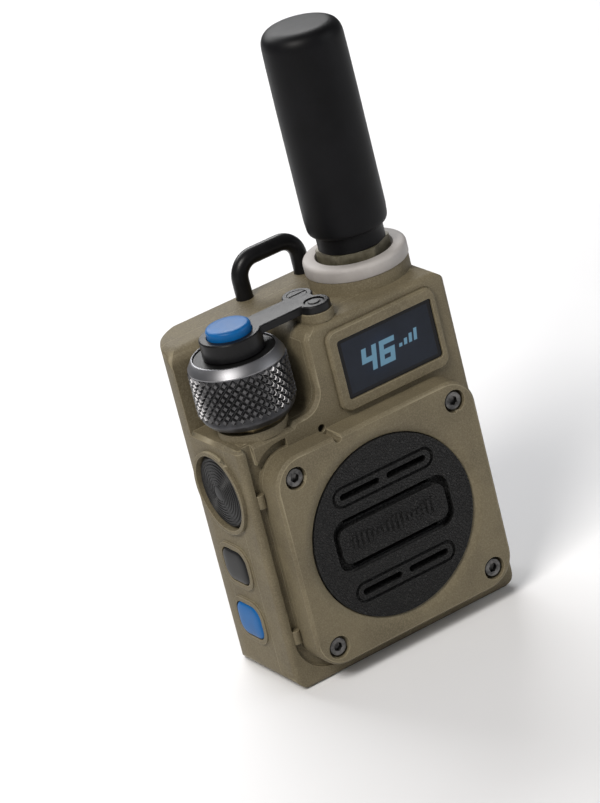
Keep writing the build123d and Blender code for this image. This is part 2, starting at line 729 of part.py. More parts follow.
# ---------------------------------------------------------------- display pieces
with BuildPart() as display_bezel:
    with BuildSketch(front_plane(FACE_Y + BEZEL_SINK)):
        with Locations((BEZEL_X, BEZEL_Z)):
            RectangleRounded(BEZEL_X1 - BEZEL_X0, BEZEL_Z1 - BEZEL_Z0, 2.1)
    extrude(amount=BEZEL_PROUD + BEZEL_SINK)
    bezel_rim = display_bezel.edges().group_by(Axis.Y)[0]
    chamfer(bezel_rim, 0.4)
    with BuildSketch(front_plane(FACE_Y + BEZEL_SINK)):
        with Locations((GLASS_X, GLASS_Z)):
            RectangleRounded(GLASS_X1 - GLASS_X0, GLASS_Z1 - GLASS_Z0, 0.7)
    extrude(amount=3, mode=Mode.SUBTRACT)
save(display_bezel.part, "display_bezel")

with BuildPart() as display_window:
    with BuildSketch(front_plane(FACE_Y + 1.2)):
        with Locations((GLASS_X, GLASS_Z)):
            RectangleRounded(GLASS_X1 - GLASS_X0 + 1.2, GLASS_Z1 - GLASS_Z0 + 1.2, 1.1)
    extrude(amount=0.9)
    # the raised middle fills the bezel's opening
    with BuildSketch(front_plane(FACE_Y + 0.4)):
        with Locations((GLASS_X, GLASS_Z)):
            RectangleRounded(
                GLASS_X1 - GLASS_X0 - 2 * FIT, GLASS_Z1 - GLASS_Z0 - 2 * FIT, 0.7 - FIT
            )
    extrude(amount=GLASS_PROUD + 0.4)
save(display_window.part, "display_window")

with BuildPart() as window_seal:
    with BuildSketch(front_plane(FACE_Y + 1.5)):
        with Locations((GLASS_X, GLASS_Z)):
            RectangleRounded(GLASS_X1 - GLASS_X0 + 1.2, GLASS_Z1 - GLASS_Z0 + 1.2, 1.1)
            RectangleRounded(
                GLASS_X1 - GLASS_X0 - 0.2, GLASS_Z1 - GLASS_Z0 - 0.2, 0.9, mode=Mode.SUBTRACT
            )
    extrude(amount=0.3)
save(window_seal.part, "window_seal")

with BuildPart() as display_module:
    with BuildSketch(front_plane(FACE_Y + WALL + 1.7)):
        with Locations((GLASS_X, GLASS_Z)):
            Rectangle(24.4, 15.0)
    extrude(amount=1.6)
    with BuildSketch(front_plane(FACE_Y + WALL + 2.9)):
        with Locations((GLASS_X, GLASS_Z - 3.5)):
            Rectangle(12.0, 4.0)
    extrude(amount=1.2)
save(display_module.part, "display_module")

# ---------------------------------------------------------------- knob and encoder
with BuildPart() as volume_knob:
    with BuildSketch(Plane.XZ) as knob_section:
        with BuildLine():
            Polyline(
                (SHAFT_R, KNOB_Z0 + 3.5),
                (KNOB_R - 2.2, KNOB_Z0 + 3.5),
                (KNOB_R - 2.2, KNOB_Z0),
                (KNOB_R - 1.5, KNOB_Z0),
                (KNOB_R - 0.5, KNOB_Z0 + 1.2),
                (KNOB_R - 0.5, KNOB_Z0 + 1.8),
                (KNOB_R, KNOB_Z0 + 2.1),
                (KNOB_R, KNOB_Z1 - 2.1),
                (KNOB_R - 0.2, KNOB_Z1 - 1.8),
                (KNOB_R - 1.3, KNOB_Z1),
                (KNOB_R - 1.6, KNOB_Z1),
                (KNOB_R - 1.6, KNOB_Z1 - 2.0),
                (SHAFT_R, KNOB_Z1 - 2.0),
                close=True,
            )
        make_face()
    revolve(axis=Axis.Z)
knob_solid = volume_knob.part.moved(Location((KNOB_X, KNOB_Y, 0)))
save(knob_solid, "volume_knob")

with BuildPart() as knob_insert:
    with BuildSketch(Plane.XY.offset(KNOB_Z1 - 2.0)):
        with Locations((KNOB_X, KNOB_Y)):
            Circle(KNOB_R - 1.63)
    extrude(amount=1.7)
save(knob_insert.part, "knob_insert")

with BuildPart() as encoder_shaft:
    with BuildSketch(Plane.XY.offset(SHAFT_Z0)):
        with Locations((KNOB_X, KNOB_Y)):
            Circle(SHAFT_R)
    extrude(amount=KNOB_Z1 - 2.0 - SHAFT_Z0)
save(encoder_shaft.part, "encoder_shaft")

with BuildPart() as encoder_body:
    with BuildSketch(Plane.XY.offset(NOTCH_Z - DECK_T - FIT - ENC_H)):
        with Locations((KNOB_X, KNOB_Y)):
            Rectangle(2 * ENC_HALF, 2 * ENC_HALF)
    extrude(amount=ENC_H)
    with BuildSketch(Plane.XY.offset(NOTCH_Z - DECK_T - FIT)):
        with Locations((KNOB_X, KNOB_Y)):
            Circle(BUSH_R)
    extrude(amount=7.3)
    with BuildSketch(Plane.XY.offset(SHAFT_Z0 - 0.1)):
        with Locations((KNOB_X, KNOB_Y)):
            Circle(SHAFT_R + FIT)
    extrude(amount=20, mode=Mode.SUBTRACT)
save(encoder_body.part, "encoder_body")

with BuildPart() as encoder_nut:
    with BuildSketch(Plane.XY.offset(NOTCH_Z + 1.6)):
        with Locations((KNOB_X, KNOB_Y)):
            RegularPolygon(6.2, 6)
            Circle(BUSH_R + FIT / 2, mode=Mode.SUBTRACT)
    extrude(amount=2.0)
save(encoder_nut.part, "encoder_nut")

# ---------------------------------------------------------------- button bridge
with BuildPart() as button_bridge:
    with BuildSketch(Plane.XY.offset(ARM_Z0)):
        with Locations(((KNOB_X + HEAD_X) / 2, KNOB_Y)):
            Rectangle(HEAD_X - KNOB_X, 2 * ARM_HALF)
        with Locations(LOBES):
            Circle(LOBE_R)
        with Locations((HEAD_X - 0.6, KNOB_Y)):
            Rectangle(4.6, 2 * LOBE_DY)
    extrude(amount=ARM_T)
    with BuildSketch(Plane.XY.offset(COLLAR_Z0)):
        with Locations((KNOB_X, KNOB_Y)):
            Circle(COLLAR_R)
    extrude(amount=ARM_Z1 - COLLAR_Z0)
    bridge_rim = button_bridge.edges().group_by(Axis.Z)[-1]
    chamfer(bridge_rim, 0.25)
    with BuildSketch(Plane.XY.offset(COLLAR_Z0 + 0.7)):
        with Locations((KNOB_X, KNOB_Y)):
            Circle(5.1)
    extrude(amount=ARM_Z1 - 0.8 - COLLAR_Z0 - 0.7, mode=Mode.SUBTRACT)
    with BuildSketch(Plane.XY.offset(ARM_Z1 - 1.5)):
        with Locations((KNOB_X, KNOB_Y)):
            Circle(TOP_BUTTON_R + 0.14)
    extrude(amount=3, mode=Mode.SUBTRACT)
    with BuildSketch(Plane.XY.offset(ARM_Z0)):
        with Locations(LOBES):
            Circle(M2_R + 0.05)
    extrude(amount=3, mode=Mode.SUBTRACT)
    with BuildSketch(Plane.XY.offset(ARM_Z1 - 0.7)):
        with Locations(LOBES):
            Circle(2.0)
    extrude(amount=3, mode=Mode.SUBTRACT)
save(button_bridge.part, "button_bridge")

with BuildPart() as bridge_pad:
    with BuildSketch(Plane.XY.offset(BODY_H)):
        with Locations((HEAD_X, KNOB_Y)):
            SlotCenterToCenter(2 * LOBE_DY, 2 * (LOBE_R + PAD_GROW), rotation=90)
        with Locations(LOBES):
            Circle(M2_R + 0.05, mode=Mode.SUBTRACT)
    extrude(amount=ARM_Z0 - BODY_H)
save(bridge_pad.part, "bridge_pad")

with BuildPart() as bridge_screws:
    with BuildSketch(Plane.XY.offset(ARM_Z1 - 0.7)):
        with Locations(LOBES):
            Circle(1.9)
    extrude(amount=0.65)
    with BuildSketch(Plane.XY.offset(ARM_Z1 - 0.35)):
        with Locations(LOBES):
            Rectangle(3.4, 0.5)
    extrude(amount=1, mode=Mode.SUBTRACT)
    with BuildSketch(Plane.XY.offset(BODY_H - WALL + 0.1)):
        with Locations(LOBES):
            Circle(M2_R - 0.03)
    extrude(amount=ARM_Z1 - 0.7 - BODY_H + WALL - 0.1)
save(bridge_screws.part, "bridge_screws")

with BuildPart() as top_button:
    with BuildSketch(Plane.XY.offset(FLANGE_Z)):
        with Locations((KNOB_X, KNOB_Y)):
            Circle(4.95)
    extrude(amount=1.05)
    with BuildSketch(Plane.XY.offset(FLANGE_Z + 1.05)):
        with Locations((KNOB_X, KNOB_Y)):
            Circle(TOP_BUTTON_R)
    extrude(amount=TOP_BUTTON_Z1 - FLANGE_Z - 1.05)
    cap_rim = top_button.edges().group_by(Axis.Z)[-1]
    fillet(cap_rim, 0.8)
    with BuildSketch(Plane.XY.offset(FLANGE_Z)):
        with Locations((KNOB_X, KNOB_Y)):
            Circle(3.6)
    extrude(amount=2.4, mode=Mode.SUBTRACT)
    # the post that presses the switch
    with BuildSketch(Plane.XY.offset(FLANGE_Z + 1.0)):
        with Locations((KNOB_X, KNOB_Y)):
            Circle(1.2)
    extrude(amount=1.5)
save(top_button.part, "top_button")

with BuildPart() as top_switch:
    with BuildSketch(Plane.XY.offset(COLLAR_Z0 + 0.7)):
        with Locations((KNOB_X, KNOB_Y)):
            Rectangle(4.5, 4.5)
    extrude(amount=0.9)
    with BuildSketch(Plane.XY.offset(COLLAR_Z0 + 1.6)):
        with Locations((KNOB_X, KNOB_Y)):
            Circle(1.1)
    extrude(amount=0.25)
save(top_switch.part, "top_switch")

# ---------------------------------------------------------------- antenna pieces
with BuildPart() as antenna_connector:
    with BuildSketch(Plane.XY.offset(61.0)):
        with Locations((ANT_X, ANT_Y)):
            Circle(CONN_R)
    extrude(amount=NUT_Z1 + 4.0 - 61.0)
    with BuildSketch(Plane.XY.offset(BODY_H - WALL - 1.6)):
        with Locations((ANT_X, ANT_Y)):
            RegularPolygon(4.3, 6)
    extrude(amount=1.6)
    with BuildSketch(Plane.XY.offset(NUT_Z1 + 1.0)):
        with Locations((ANT_X, ANT_Y)):
            Circle(2.2)
            Circle(0.6, mode=Mode.SUBTRACT)
    extrude(amount=4, mode=Mode.SUBTRACT)
save(antenna_connector.part, "antenna_connector")

with BuildPart() as antenna_ring:
    with BuildSketch(Plane.XY.offset(RING_Z0)):
        with Locations((ANT_X, ANT_Y)):
            Circle(RING_R)
            Circle(RING_HOLE, mode=Mode.SUBTRACT)
    extrude(amount=RING_H)
    ring_edge = antenna_ring.edges().group_by(Axis.Z)[-1].sort_by(SortBy.LENGTH)[-1]
    fillet(ring_edge, 0.7)
save(antenna_ring.part, "antenna_ring")

with BuildPart() as antenna_nut:
    with BuildSketch(Plane.XY.offset(RING_Z0)):
        with Locations((ANT_X, ANT_Y)):
            RegularPolygon(NUT_R, 6, rotation=32)
    extrude(amount=NUT_H)
    with BuildSketch(Plane.XY.offset(RING_Z0)):
        with Locations((ANT_X, ANT_Y)):
            Circle(NUT_R - 0.15)
    extrude(amount=NUT_H, mode=Mode.INTERSECT)
    with BuildSketch(Plane.XY.offset(RING_Z0)):
        with Locations((ANT_X, ANT_Y)):
            Circle(CONN_R + FIT)
    extrude(amount=NUT_H, mode=Mode.SUBTRACT)
save(antenna_nut.part, "antenna_nut")

with BuildPart() as antenna_cover:
    with BuildSketch(Plane.XZ) as whip_section:
        with BuildLine():
            Polyline(
                (CONN_R + 0.1, NUT_Z1),
                (NECK_R, NUT_Z1),
                (NECK_R, ANT_Z0),
                (ANT_R, ANT_Z0),
                (ANT_R, ANT_TOP),
                (0, ANT_TOP),
                (0, ANT_TOP - 5),
                (CONN_R + 0.1, ANT_TOP - 5),
                close=True,
            )
        make_face()
        low_out = [v for v in whip_section.vertices() if v.X > ANT_R - 0.1 and v.Y < 100]
        fillet(low_out, 1.3)
        top_out = [v for v in whip_section.vertices() if v.X > ANT_R - 0.1 and v.Y > 100]
        fillet(top_out, 3.2)
    revolve(axis=Axis.Z)
whip_solid = antenna_cover.part.moved(Location((ANT_X, ANT_Y, 0)))
save(whip_solid, "antenna_cover")

with BuildPart() as antenna_element:
    with BuildSketch(Plane.XY.offset(NUT_Z1 + 4.2)):
        with Locations((ANT_X, ANT_Y)):
            Circle(2.6)
            Circle(2.0, mode=Mode.SUBTRACT)
    extrude(amount=ANT_TOP - 6 - NUT_Z1 - 4.2)
    with BuildSketch(Plane.XY.offset(NUT_Z1 + 4.2)):
        with Locations((ANT_X, ANT_Y)):
            Circle(2.3)
    extrude(amount=1.0)
save(antenna_element.part, "antenna_element")

# ---------------------------------------------------------------- lanyard loop
with BuildPart() as lanyard_loop:
    with BuildLine() as loop_path:
        FilletPolyline(
            (LOOP_X0, LOOP_Y, LOOP_FOOT_Z + 0.1),
            (LOOP_X0, LOOP_Y, LOOP_Z),
            (LOOP_X1, LOOP_Y, LOOP_Z),
            (LOOP_X1, LOOP_Y, LOOP_FOOT_Z + 0.1),
            radius=LOOP_BEND,
        )
    with BuildSketch(Plane.XY.offset(LOOP_FOOT_Z + 0.1)):
        with Locations((LOOP_X0, LOOP_Y)):
            Circle(LOOP_R)
    sweep(path=loop_path.wires()[0])
save(lanyard_loop.part, "lanyard_loop")

# ---------------------------------------------------------------- side buttons
with BuildPart() as ptt_button:
    with BuildSketch(side_plane(-SIDE_X - PTT_PROUD + 1.0)):
        with Locations((PTT_Y, PTT_Z)):
            Circle(PTT_R)
    extrude(amount=PTT_PROUD - 1.0 + WALL + 0.1)
    with BuildSketch(side_plane(-SIDE_X - PTT_PROUD + 1.0)):
        with Locations((PTT_Y, PTT_Z)):
            Circle(PTT_R)
    extrude(amount=-1.0, taper=58)
    with BuildSketch(side_plane(-SIDE_X + WALL + 0.1)):
        with Locations((PTT_Y, PTT_Z)):
            Circle(PTT_R + 0.5)
    extrude(amount=0.8)
    with BuildSketch(side_plane(-SIDE_X + WALL + 0.9)):
        with Locations((PTT_Y, PTT_Z)):
            Circle(1.2)
    extrude(amount=0.6)
save(ptt_button.part, "ptt_button")

for label, z in (("side_key_upper", KEY_Z_TOP), ("side_key_lower", KEY_Z_LOW)):
    with BuildPart() as side_key:
        with BuildSketch(side_plane(-SIDE_X - KEY_PROUD)):
            with Locations((KEY_Y, z)):
                RectangleRounded(KEY_W, KEY_H, KEY_R)
        extrude(amount=KEY_PROUD + WALL + 0.1)
        key_rim = side_key.edges().group_by(Axis.X)[0]
        fillet(key_rim, 0.5)
        with BuildSketch(side_plane(-SIDE_X + WALL + 0.1)):
            with Locations((KEY_Y, z)):
                RectangleRounded(KEY_W + 1.4, KEY_H + 1.4, KEY_R + 0.7)
        extrude(amount=0.7)
        with BuildSketch(side_plane(-SIDE_X + WALL + 0.8)):
            with Locations((KEY_Y, z)):
                Circle(1.2)
        extrude(amount=0.8)
    save(side_key.part, label)

with BuildPart() as side_board:
    with BuildSketch(side_plane(BOARD_X)):
        with Locations((-2.7, 25.2)):
            Rectangle(12.0, 36.6)
    extrude(amount=BOARD_T)
save(side_board.part, "side_board")

with BuildPart() as side_switches:
    with BuildSketch(side_plane(BOARD_X - 1.2)):
        with Locations((PTT_Y, PTT_Z - 0.4), *KEY_SPOTS):
            Rectangle(4.4, 4.4)
    extrude(amount=1.2)
    with BuildSketch(side_plane(BOARD_X - 1.6)):
        with Locations((PTT_Y, PTT_Z - 0.4), *KEY_SPOTS):
            Circle(1.1)
    extrude(amount=0.4)
save(side_switches.part, "side_switches")

# ---------------------------------------------------------------- boards and battery
with BuildPart() as main_board:
    with BuildSketch(front_plane(PCB_Y + PCB_T)):
        with Locations((1.75, 25.25)):
            Rectangle(40.5, 35.5)
        with Locations((9.1, 50.5)):
            Rectangle(25.8, 17.0)
    extrude(amount=PCB_T)
save(main_board.part, "main_board")

with BuildPart() as rf_shield:
    with BuildSketch(front_plane(PCB_Y + PCB_T + 2.0)):
        with Locations((-5.0, 35.0)):
            RectangleRounded(19.0, 13.0, 0.6)
    extrude(amount=2.0)
save(rf_shield.part, "rf_shield")

with BuildPart() as radio_module:
    with BuildSketch(front_plane(PCB_Y + PCB_T + 2.3)):
        with Locations((8.5, 18.5)):
            Rectangle(17.0, 17.0)
    extrude(amount=2.3)
save(radio_module.part, "radio_module")

with BuildPart() as sim_socket:
    with BuildSketch(front_plane(PCB_Y + PCB_T + 1.5)):
        with Locations((-9.0, 18.0)):
            Rectangle(13.5, 14.0)
    extrude(amount=1.5)
save(sim_socket.part, "sim_socket")

with BuildPart() as battery:
    with BuildSketch(front_plane(11.0)):
        with Locations((0, 28.5)):
            RectangleRounded(36.0, 40.0, 2.0)
    extrude(amount=9.0)
    vertical = battery.edges().group_by(Axis.Y)[0]
    chamfer(vertical, 0.6)
save(battery.part, "battery")

with BuildPart() as battery_plug:
    with BuildSketch(front_plane(PCB_Y + PCB_T + 2.6)):
        with Locations((4.0, 53.0)):
            Rectangle(7.0, 4.0)
    extrude(amount=2.6)
save(battery_plug.part, "battery_plug")

# ---------------------------------------------------------------- charging port
with BuildPart() as usb_socket:
    with BuildSketch(side_plane(18.0)):
        with Locations((USB_Y, USB_Z)):
            RectangleRounded(USB_H, USB_W, 1.4)
    extrude(amount=6.6)
    with BuildSketch(side_plane(19.2)):
        with Locations((USB_Y, USB_Z)):
            RectangleRounded(USB_H - 0.6, USB_W - 0.6, 1.2)
            RectangleRounded(0.7, 6.6, 0.3, mode=Mode.SUBTRACT)
    extrude(amount=7.0, mode=Mode.SUBTRACT)
save(usb_socket.part, "usb_socket")

with BuildPart() as usb_flap:
    with BuildSketch(side_plane(SIDE_X - FLAP_T + 0.02)):
        with Locations((USB_Y, (FLAP_Z0 + FLAP_Z1) / 2)):
            Rectangle(2 * FLAP_HALF, FLAP_Z1 - FLAP_Z0)
    extrude(amount=FLAP_T - 0.02)
    flap_corners = usb_flap.edges().filter_by(Axis.X).sort_by(Axis.Z)[-2:]
    fillet(flap_corners, 1.0)
    with BuildSketch(front_plane(USB_Y + FLAP_HALF)):
        with Locations((FLAP_PIN_X, FLAP_PIN_Z)):
            Circle(BARREL_R)
        with Locations((SIDE_X - 0.5, FLAP_PIN_Z + 0.7)):
            Rectangle(1.0, 1.2)
    extrude(amount=2 * FLAP_HALF)
    with BuildSketch(side_plane(SIDE_X - FLAP_T - 0.9)):
        with Locations((USB_Y, USB_Z)):
            RectangleRounded(USB_H - 0.8, USB_W - 0.8, 1.1)
            RectangleRounded(USB_H - 1.6, USB_W - 1.6, 0.7, mode=Mode.SUBTRACT)
    extrude(amount=1.0)
    with BuildSketch(front_plane(USB_Y + FLAP_HALF + 1)):
        with Locations((FLAP_PIN_X, FLAP_PIN_Z)):
            Circle(FLAP_PIN_R + FIT)
    extrude(amount=2 * FLAP_HALF + 2, mode=Mode.SUBTRACT)
save(usb_flap.part, "usb_flap")

with BuildPart() as usb_flap_pin:
    with BuildSketch(front_plane(USB_Y + FLAP_HALF + 1.1)):
        with Locations((FLAP_PIN_X, FLAP_PIN_Z)):
            Circle(FLAP_PIN_R - 0.01)
    extrude(amount=2 * FLAP_HALF + 2.2)
save(usb_flap_pin.part, "usb_flap_pin")

print("case", BODY_W, BODY_D, BODY_H, "notch x", NOTCH_X, "antenna", ANT_Z0, ANT_TOP)
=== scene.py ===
# %% [markdown]
# # A pocket push-to-talk radio
# The radio is a boxy olive case with a proud speaker cover, a small screen, a knurled
# knob with a blue button above it, and a stubby antenna. The CAD model is loaded first as
# a fixed frame. Every size below is read from it, so each piece lands where the CAD says.

import json
import math

import bmesh
import bpy
from mathutils import Matrix, Vector

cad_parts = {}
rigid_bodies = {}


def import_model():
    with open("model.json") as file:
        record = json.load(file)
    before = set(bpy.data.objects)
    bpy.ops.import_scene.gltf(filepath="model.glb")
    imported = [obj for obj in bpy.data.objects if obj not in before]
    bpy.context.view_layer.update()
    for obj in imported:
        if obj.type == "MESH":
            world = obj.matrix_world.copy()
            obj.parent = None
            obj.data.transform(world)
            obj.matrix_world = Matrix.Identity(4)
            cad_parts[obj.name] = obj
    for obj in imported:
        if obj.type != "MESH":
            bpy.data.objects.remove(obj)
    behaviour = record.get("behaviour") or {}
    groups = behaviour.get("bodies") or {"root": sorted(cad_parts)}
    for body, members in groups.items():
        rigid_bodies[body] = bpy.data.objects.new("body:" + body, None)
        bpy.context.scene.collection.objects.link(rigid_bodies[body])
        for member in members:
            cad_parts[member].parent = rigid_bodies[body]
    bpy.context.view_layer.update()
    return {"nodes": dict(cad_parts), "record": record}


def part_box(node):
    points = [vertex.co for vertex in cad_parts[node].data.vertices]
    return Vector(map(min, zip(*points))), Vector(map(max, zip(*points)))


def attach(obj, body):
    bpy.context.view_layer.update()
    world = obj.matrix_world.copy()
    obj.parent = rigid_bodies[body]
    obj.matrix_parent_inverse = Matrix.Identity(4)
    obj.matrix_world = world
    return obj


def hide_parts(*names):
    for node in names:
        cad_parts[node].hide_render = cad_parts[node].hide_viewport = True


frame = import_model()
record = frame["record"]
MM = 0.001

# %% [markdown]
# ## Camera
# The camera comes first, because it settles which pieces deserve the most care. It looks
# from the front left and a little above, with a long lens, and it leans to one side. Three
# angles and a place say all of that, so the camera's axes are worked out from them.

# %% Camera
AIM = Vector((0.0, -0.02005, 0.0262))
TURN, LIFT, LEAN = math.radians(-27.12), math.radians(22.84), math.radians(-14.33)
CAMERA_AT = Vector((-0.32935, -0.63735, 0.35043))


def camera_axes(turn, lift, lean):
    """The camera's right, up and back directions as a rotation."""
    back = Vector((math.sin(turn) * math.cos(lift), -math.cos(turn) * math.cos(lift), math.sin(lift)))
    level = Vector((math.cos(turn), math.sin(turn), 0.0))
    rise = back.cross(level)
    right = level * math.cos(lean) + rise * math.sin(lean)
    up = rise * math.cos(lean) - level * math.sin(lean)
    return Matrix((right, up, back)).transposed()


lens = bpy.data.cameras.new("camera")
lens.lens = 181.8
lens.sensor_width = 36.0
lens.clip_start = 0.01
camera = bpy.data.objects.new("camera", lens)
camera.matrix_world = Matrix.Translation(CAMERA_AT) @ camera_axes(TURN, LIFT, LEAN).to_4x4()
bpy.context.collection.objects.link(camera)
bpy.context.scene.camera = camera
print("camera is", round((CAMERA_AT - AIM).length, 3), "m from the speaker cover")

# %% [markdown]
# ## Floor and light
# A pale floor and a white surround stand in for a small photo studio. A big soft lamp on
# the upper left draws the long highlights on the antenna and the knob; a weaker one on the
# right keeps the shadows open; a strip behind rims the black pieces.

# %% Studio
def soft_lamp(name, place, target, size, watts, colour=(1, 1, 1)):
    data = bpy.data.lights.new(name, "AREA")
    data.shape = "RECTANGLE"
    data.size, data.size_y = size
    data.energy = watts
    data.color = colour
    lamp = bpy.data.objects.new(name, data)
    aim = (Vector(target) - Vector(place)).to_track_quat("-Z", "Y")
    lamp.matrix_world = Matrix.Translation(place) @ aim.to_matrix().to_4x4()
    bpy.context.collection.objects.link(lamp)


soft_lamp("key_lamp", (-0.55, -0.35, 0.75), (0, 0, 0.05), (0.34, 0.34), 7.8, (1.0, 0.97, 0.93))
soft_lamp("fill_lamp", (0.6, -0.55, 0.35), (0, 0, 0.05), (0.5, 0.6), 1.7, (0.96, 0.98, 1.0))
soft_lamp("rim_lamp", (0.1, 0.6, 0.5), (0, 0, 0.07), (0.7, 0.3), 5.0)
world = bpy.data.worlds.new("surround")
bpy.context.scene.world = world
world.use_nodes = True
world.node_tree.nodes["Background"].inputs["Color"].default_value = (0.95, 0.96, 1.0, 1.0)
world.node_tree.nodes["Background"].inputs["Strength"].default_value = 0.15
bpy.context.scene.view_settings.view_transform = "Standard"

# %% [markdown]
# ## Writing materials as sums
# A material is a small network of nodes. Wiring each one by hand hides the idea, so one
# class wraps a socket and gives it +, -, * and **. `1 - mask` then adds the Math node
# itself. Every other node comes from `make`, which takes a type, settings and sockets.

# %% The socket class and the material class
class Wire:
    """One output socket that can stand in a sum."""

    def __init__(self, paint, socket):
        self.paint, self.socket = paint, socket

    def math(self, operation, *values):
        return self.paint.make("ShaderNodeMath", {"operation": operation}, dict(enumerate(values)))

    def __add__(self, other):
        return self.math("ADD", self, other)

    def __sub__(self, other):
        return self.math("SUBTRACT", self, other)

    def __rsub__(self, other):
        return self.math("SUBTRACT", other, self)

    def __mul__(self, other):
        return self.math("MULTIPLY", self, other)

    def __pow__(self, other):
        return self.math("POWER", self, other)

    __radd__, __rmul__ = __add__, __mul__

    def size(self):
        return self.math("ABSOLUTE", self)

    def root(self):
        return self.math("SQRT", self)

    def over(self, low, high):
        """0 below low, 1 above high, smooth between."""
        return self.paint.make(
            "ShaderNodeMapRange", {"interpolation_type": "SMOOTHSTEP"}, {0: self, 1: low, 2: high}
        )


class Paint:
    """A material under construction."""

    def __init__(self, name):
        self.material = bpy.data.materials.new(name)
        self.material.use_nodes = True
        self.tree = self.material.node_tree
        self.tree.nodes.clear()
        self.output = self.tree.nodes.new("ShaderNodeOutputMaterial")

    def make(self, kind, settings=None, sockets=None, out=0):
        node = self.tree.nodes.new(kind)
        for key, value in (settings or {}).items():
            setattr(node, key, value)
        for key, value in (sockets or {}).items():
            if isinstance(value, Wire):
                self.tree.links.new(value.socket, node.inputs[key])
            else:
                node.inputs[key].default_value = value
        return Wire(self, node.outputs[out])

    def place(self):
        return self.make("ShaderNodeTexCoord", out="Object")

    def axes(self):
        split = self.make("ShaderNodeSeparateXYZ", {}, {0: self.place()}).socket.node
        return [Wire(self, split.outputs[i]) for i in range(3)]

    def noise(self, per_mm, detail=3.0, rough=0.5, stretch=None):
        """Cloudy noise; stretch squeezes it along each axis, which draws it out into marks."""
        place = self.place()
        if stretch is not None:
            place = self.make("ShaderNodeMapping", {}, {0: place, 3: stretch})
        sockets = {"Vector": place, "Scale": per_mm / MM, "Detail": detail, "Roughness": rough}
        return self.make("ShaderNodeTexNoise", {}, sockets)

    def cells(self, per_mm, feature, smooth=None):
        sockets = {"Vector": self.place(), "Scale": per_mm / MM}
        if smooth is not None:
            sockets["Smoothness"] = smooth
        return self.make("ShaderNodeTexVoronoi", {"feature": feature}, sockets, "Distance")

    def blend(self, factor, first, second):
        def colour(c):
            return c if isinstance(c, Wire) else (*c, 1.0)
        return self.make(
            "ShaderNodeMix", {"data_type": "RGBA"}, {0: factor, 6: colour(first), 7: colour(second)}, 2
        )

    def rounded(self, radius):
        """The surface direction with every edge rounded by this radius in mm."""
        return self.make("ShaderNodeBevel", {"samples": 6}, {"Radius": radius * MM})

    def edges(self, radius):
        """1 along outer and inner edges, 0 on flats."""
        true = self.make("ShaderNodeNewGeometry", out="True Normal")
        dot = self.make(
            "ShaderNodeVectorMath", {"operation": "DOT_PRODUCT"}, {0: self.rounded(radius), 1: true}, 1
        )
        return (1 - dot).over(0.01, 0.22)

    def bump(self, height, strength, depth_mm, normal=None):
        sockets = {"Height": height, "Strength": strength, "Distance": depth_mm * MM}
        if normal is not None:
            sockets["Normal"] = normal
        return self.make("ShaderNodeBump", {}, sockets)

    def finish(self, **sockets):
        named = {key.replace("_", " "): value for key, value in sockets.items()}
        shader = self.make("ShaderNodeBsdfPrincipled", {}, named)
        self.tree.links.new(shader.socket, self.output.inputs["Surface"])
        return self.material


print("ready to mix materials")

# %% [markdown]
# ## Olive case plastic
# The case is moulded nylon in olive drab with a spark-eroded grain: tiny even pits that
# scatter the light and keep it matt. The edge mask pushes the colour towards tan along the
# edges: a painted highlight, mixed with some real wear from handling. Broad faint mottling
# stops it looking flat.
# An image could hold all this, but noise has no seams and stays sharp at any size.

# %% Olive plastic
OLIVE = (0.140, 0.115, 0.068)
OLIVE_DARK = (0.108, 0.088, 0.052)
# light tan, for the grain flecks and the painted edge highlight
OLIVE_EDGE = (0.300, 0.258, 0.168)


def olive_plastic():
    p = Paint("olive_plastic")
    mottle = p.noise(0.09, 4.0, 0.6)
    grain = p.noise(3.4, 3.0, 0.65)
    pits = p.cells(2.8, "SMOOTH_F1", 0.6)
    edge = p.edges(0.30)
    colour = p.blend(mottle.over(0.35, 0.65), OLIVE_DARK, OLIVE)
    colour = p.blend(grain.over(0.35, 0.75) * 0.35, colour, OLIVE_EDGE)
    # painted highlight with some handling wear: the edges are lightened towards tan
    colour = p.blend(edge * (mottle * 0.5 + 0.55), colour, OLIVE_EDGE)
    height = grain * 0.6 + pits * 0.6
    return p.finish(
        Base_Color=colour,
        Roughness=0.60 + mottle * 0.12 - edge * 0.12,
        Specular_IOR_Level=0.35,
        Normal=p.bump(height, 0.85, 0.07, p.rounded(0.25)),
    )


olive = olive_plastic()
print("made", olive.name)

# %% [markdown]
# ## Black pieces
# Five blacks differ only in finish. The antenna is soft rubber, dull and faintly
# speckled. The grille is pressed with a leather grain, which cells with soft borders
# imitate. The bridge and loop have satin paint, the keys and insert are smooth plastic,
# and the seals are a duller rubber. The antenna's grey ring and the blue keys come from
# the same few nodes, so they are mixed here too.

# %% Rubbers, paints and plastics
def soft_black_rubber():
    p = Paint("antenna_rubber")
    speckle = p.noise(6.0, 3.0, 0.65)
    cloud = p.noise(0.12, 3.0, 0.5)
    colour = p.blend(cloud.over(0.3, 0.7), (0.003, 0.003, 0.0035), (0.005, 0.005, 0.006))
    colour = p.blend(speckle.over(0.55, 0.8) * 0.4, colour, (0.020, 0.020, 0.022))
    return p.finish(
        Base_Color=colour,
        Roughness=0.40 + cloud * 0.12,
        Specular_IOR_Level=0.13,
        Normal=p.bump(speckle, 0.35, 0.03),
    )


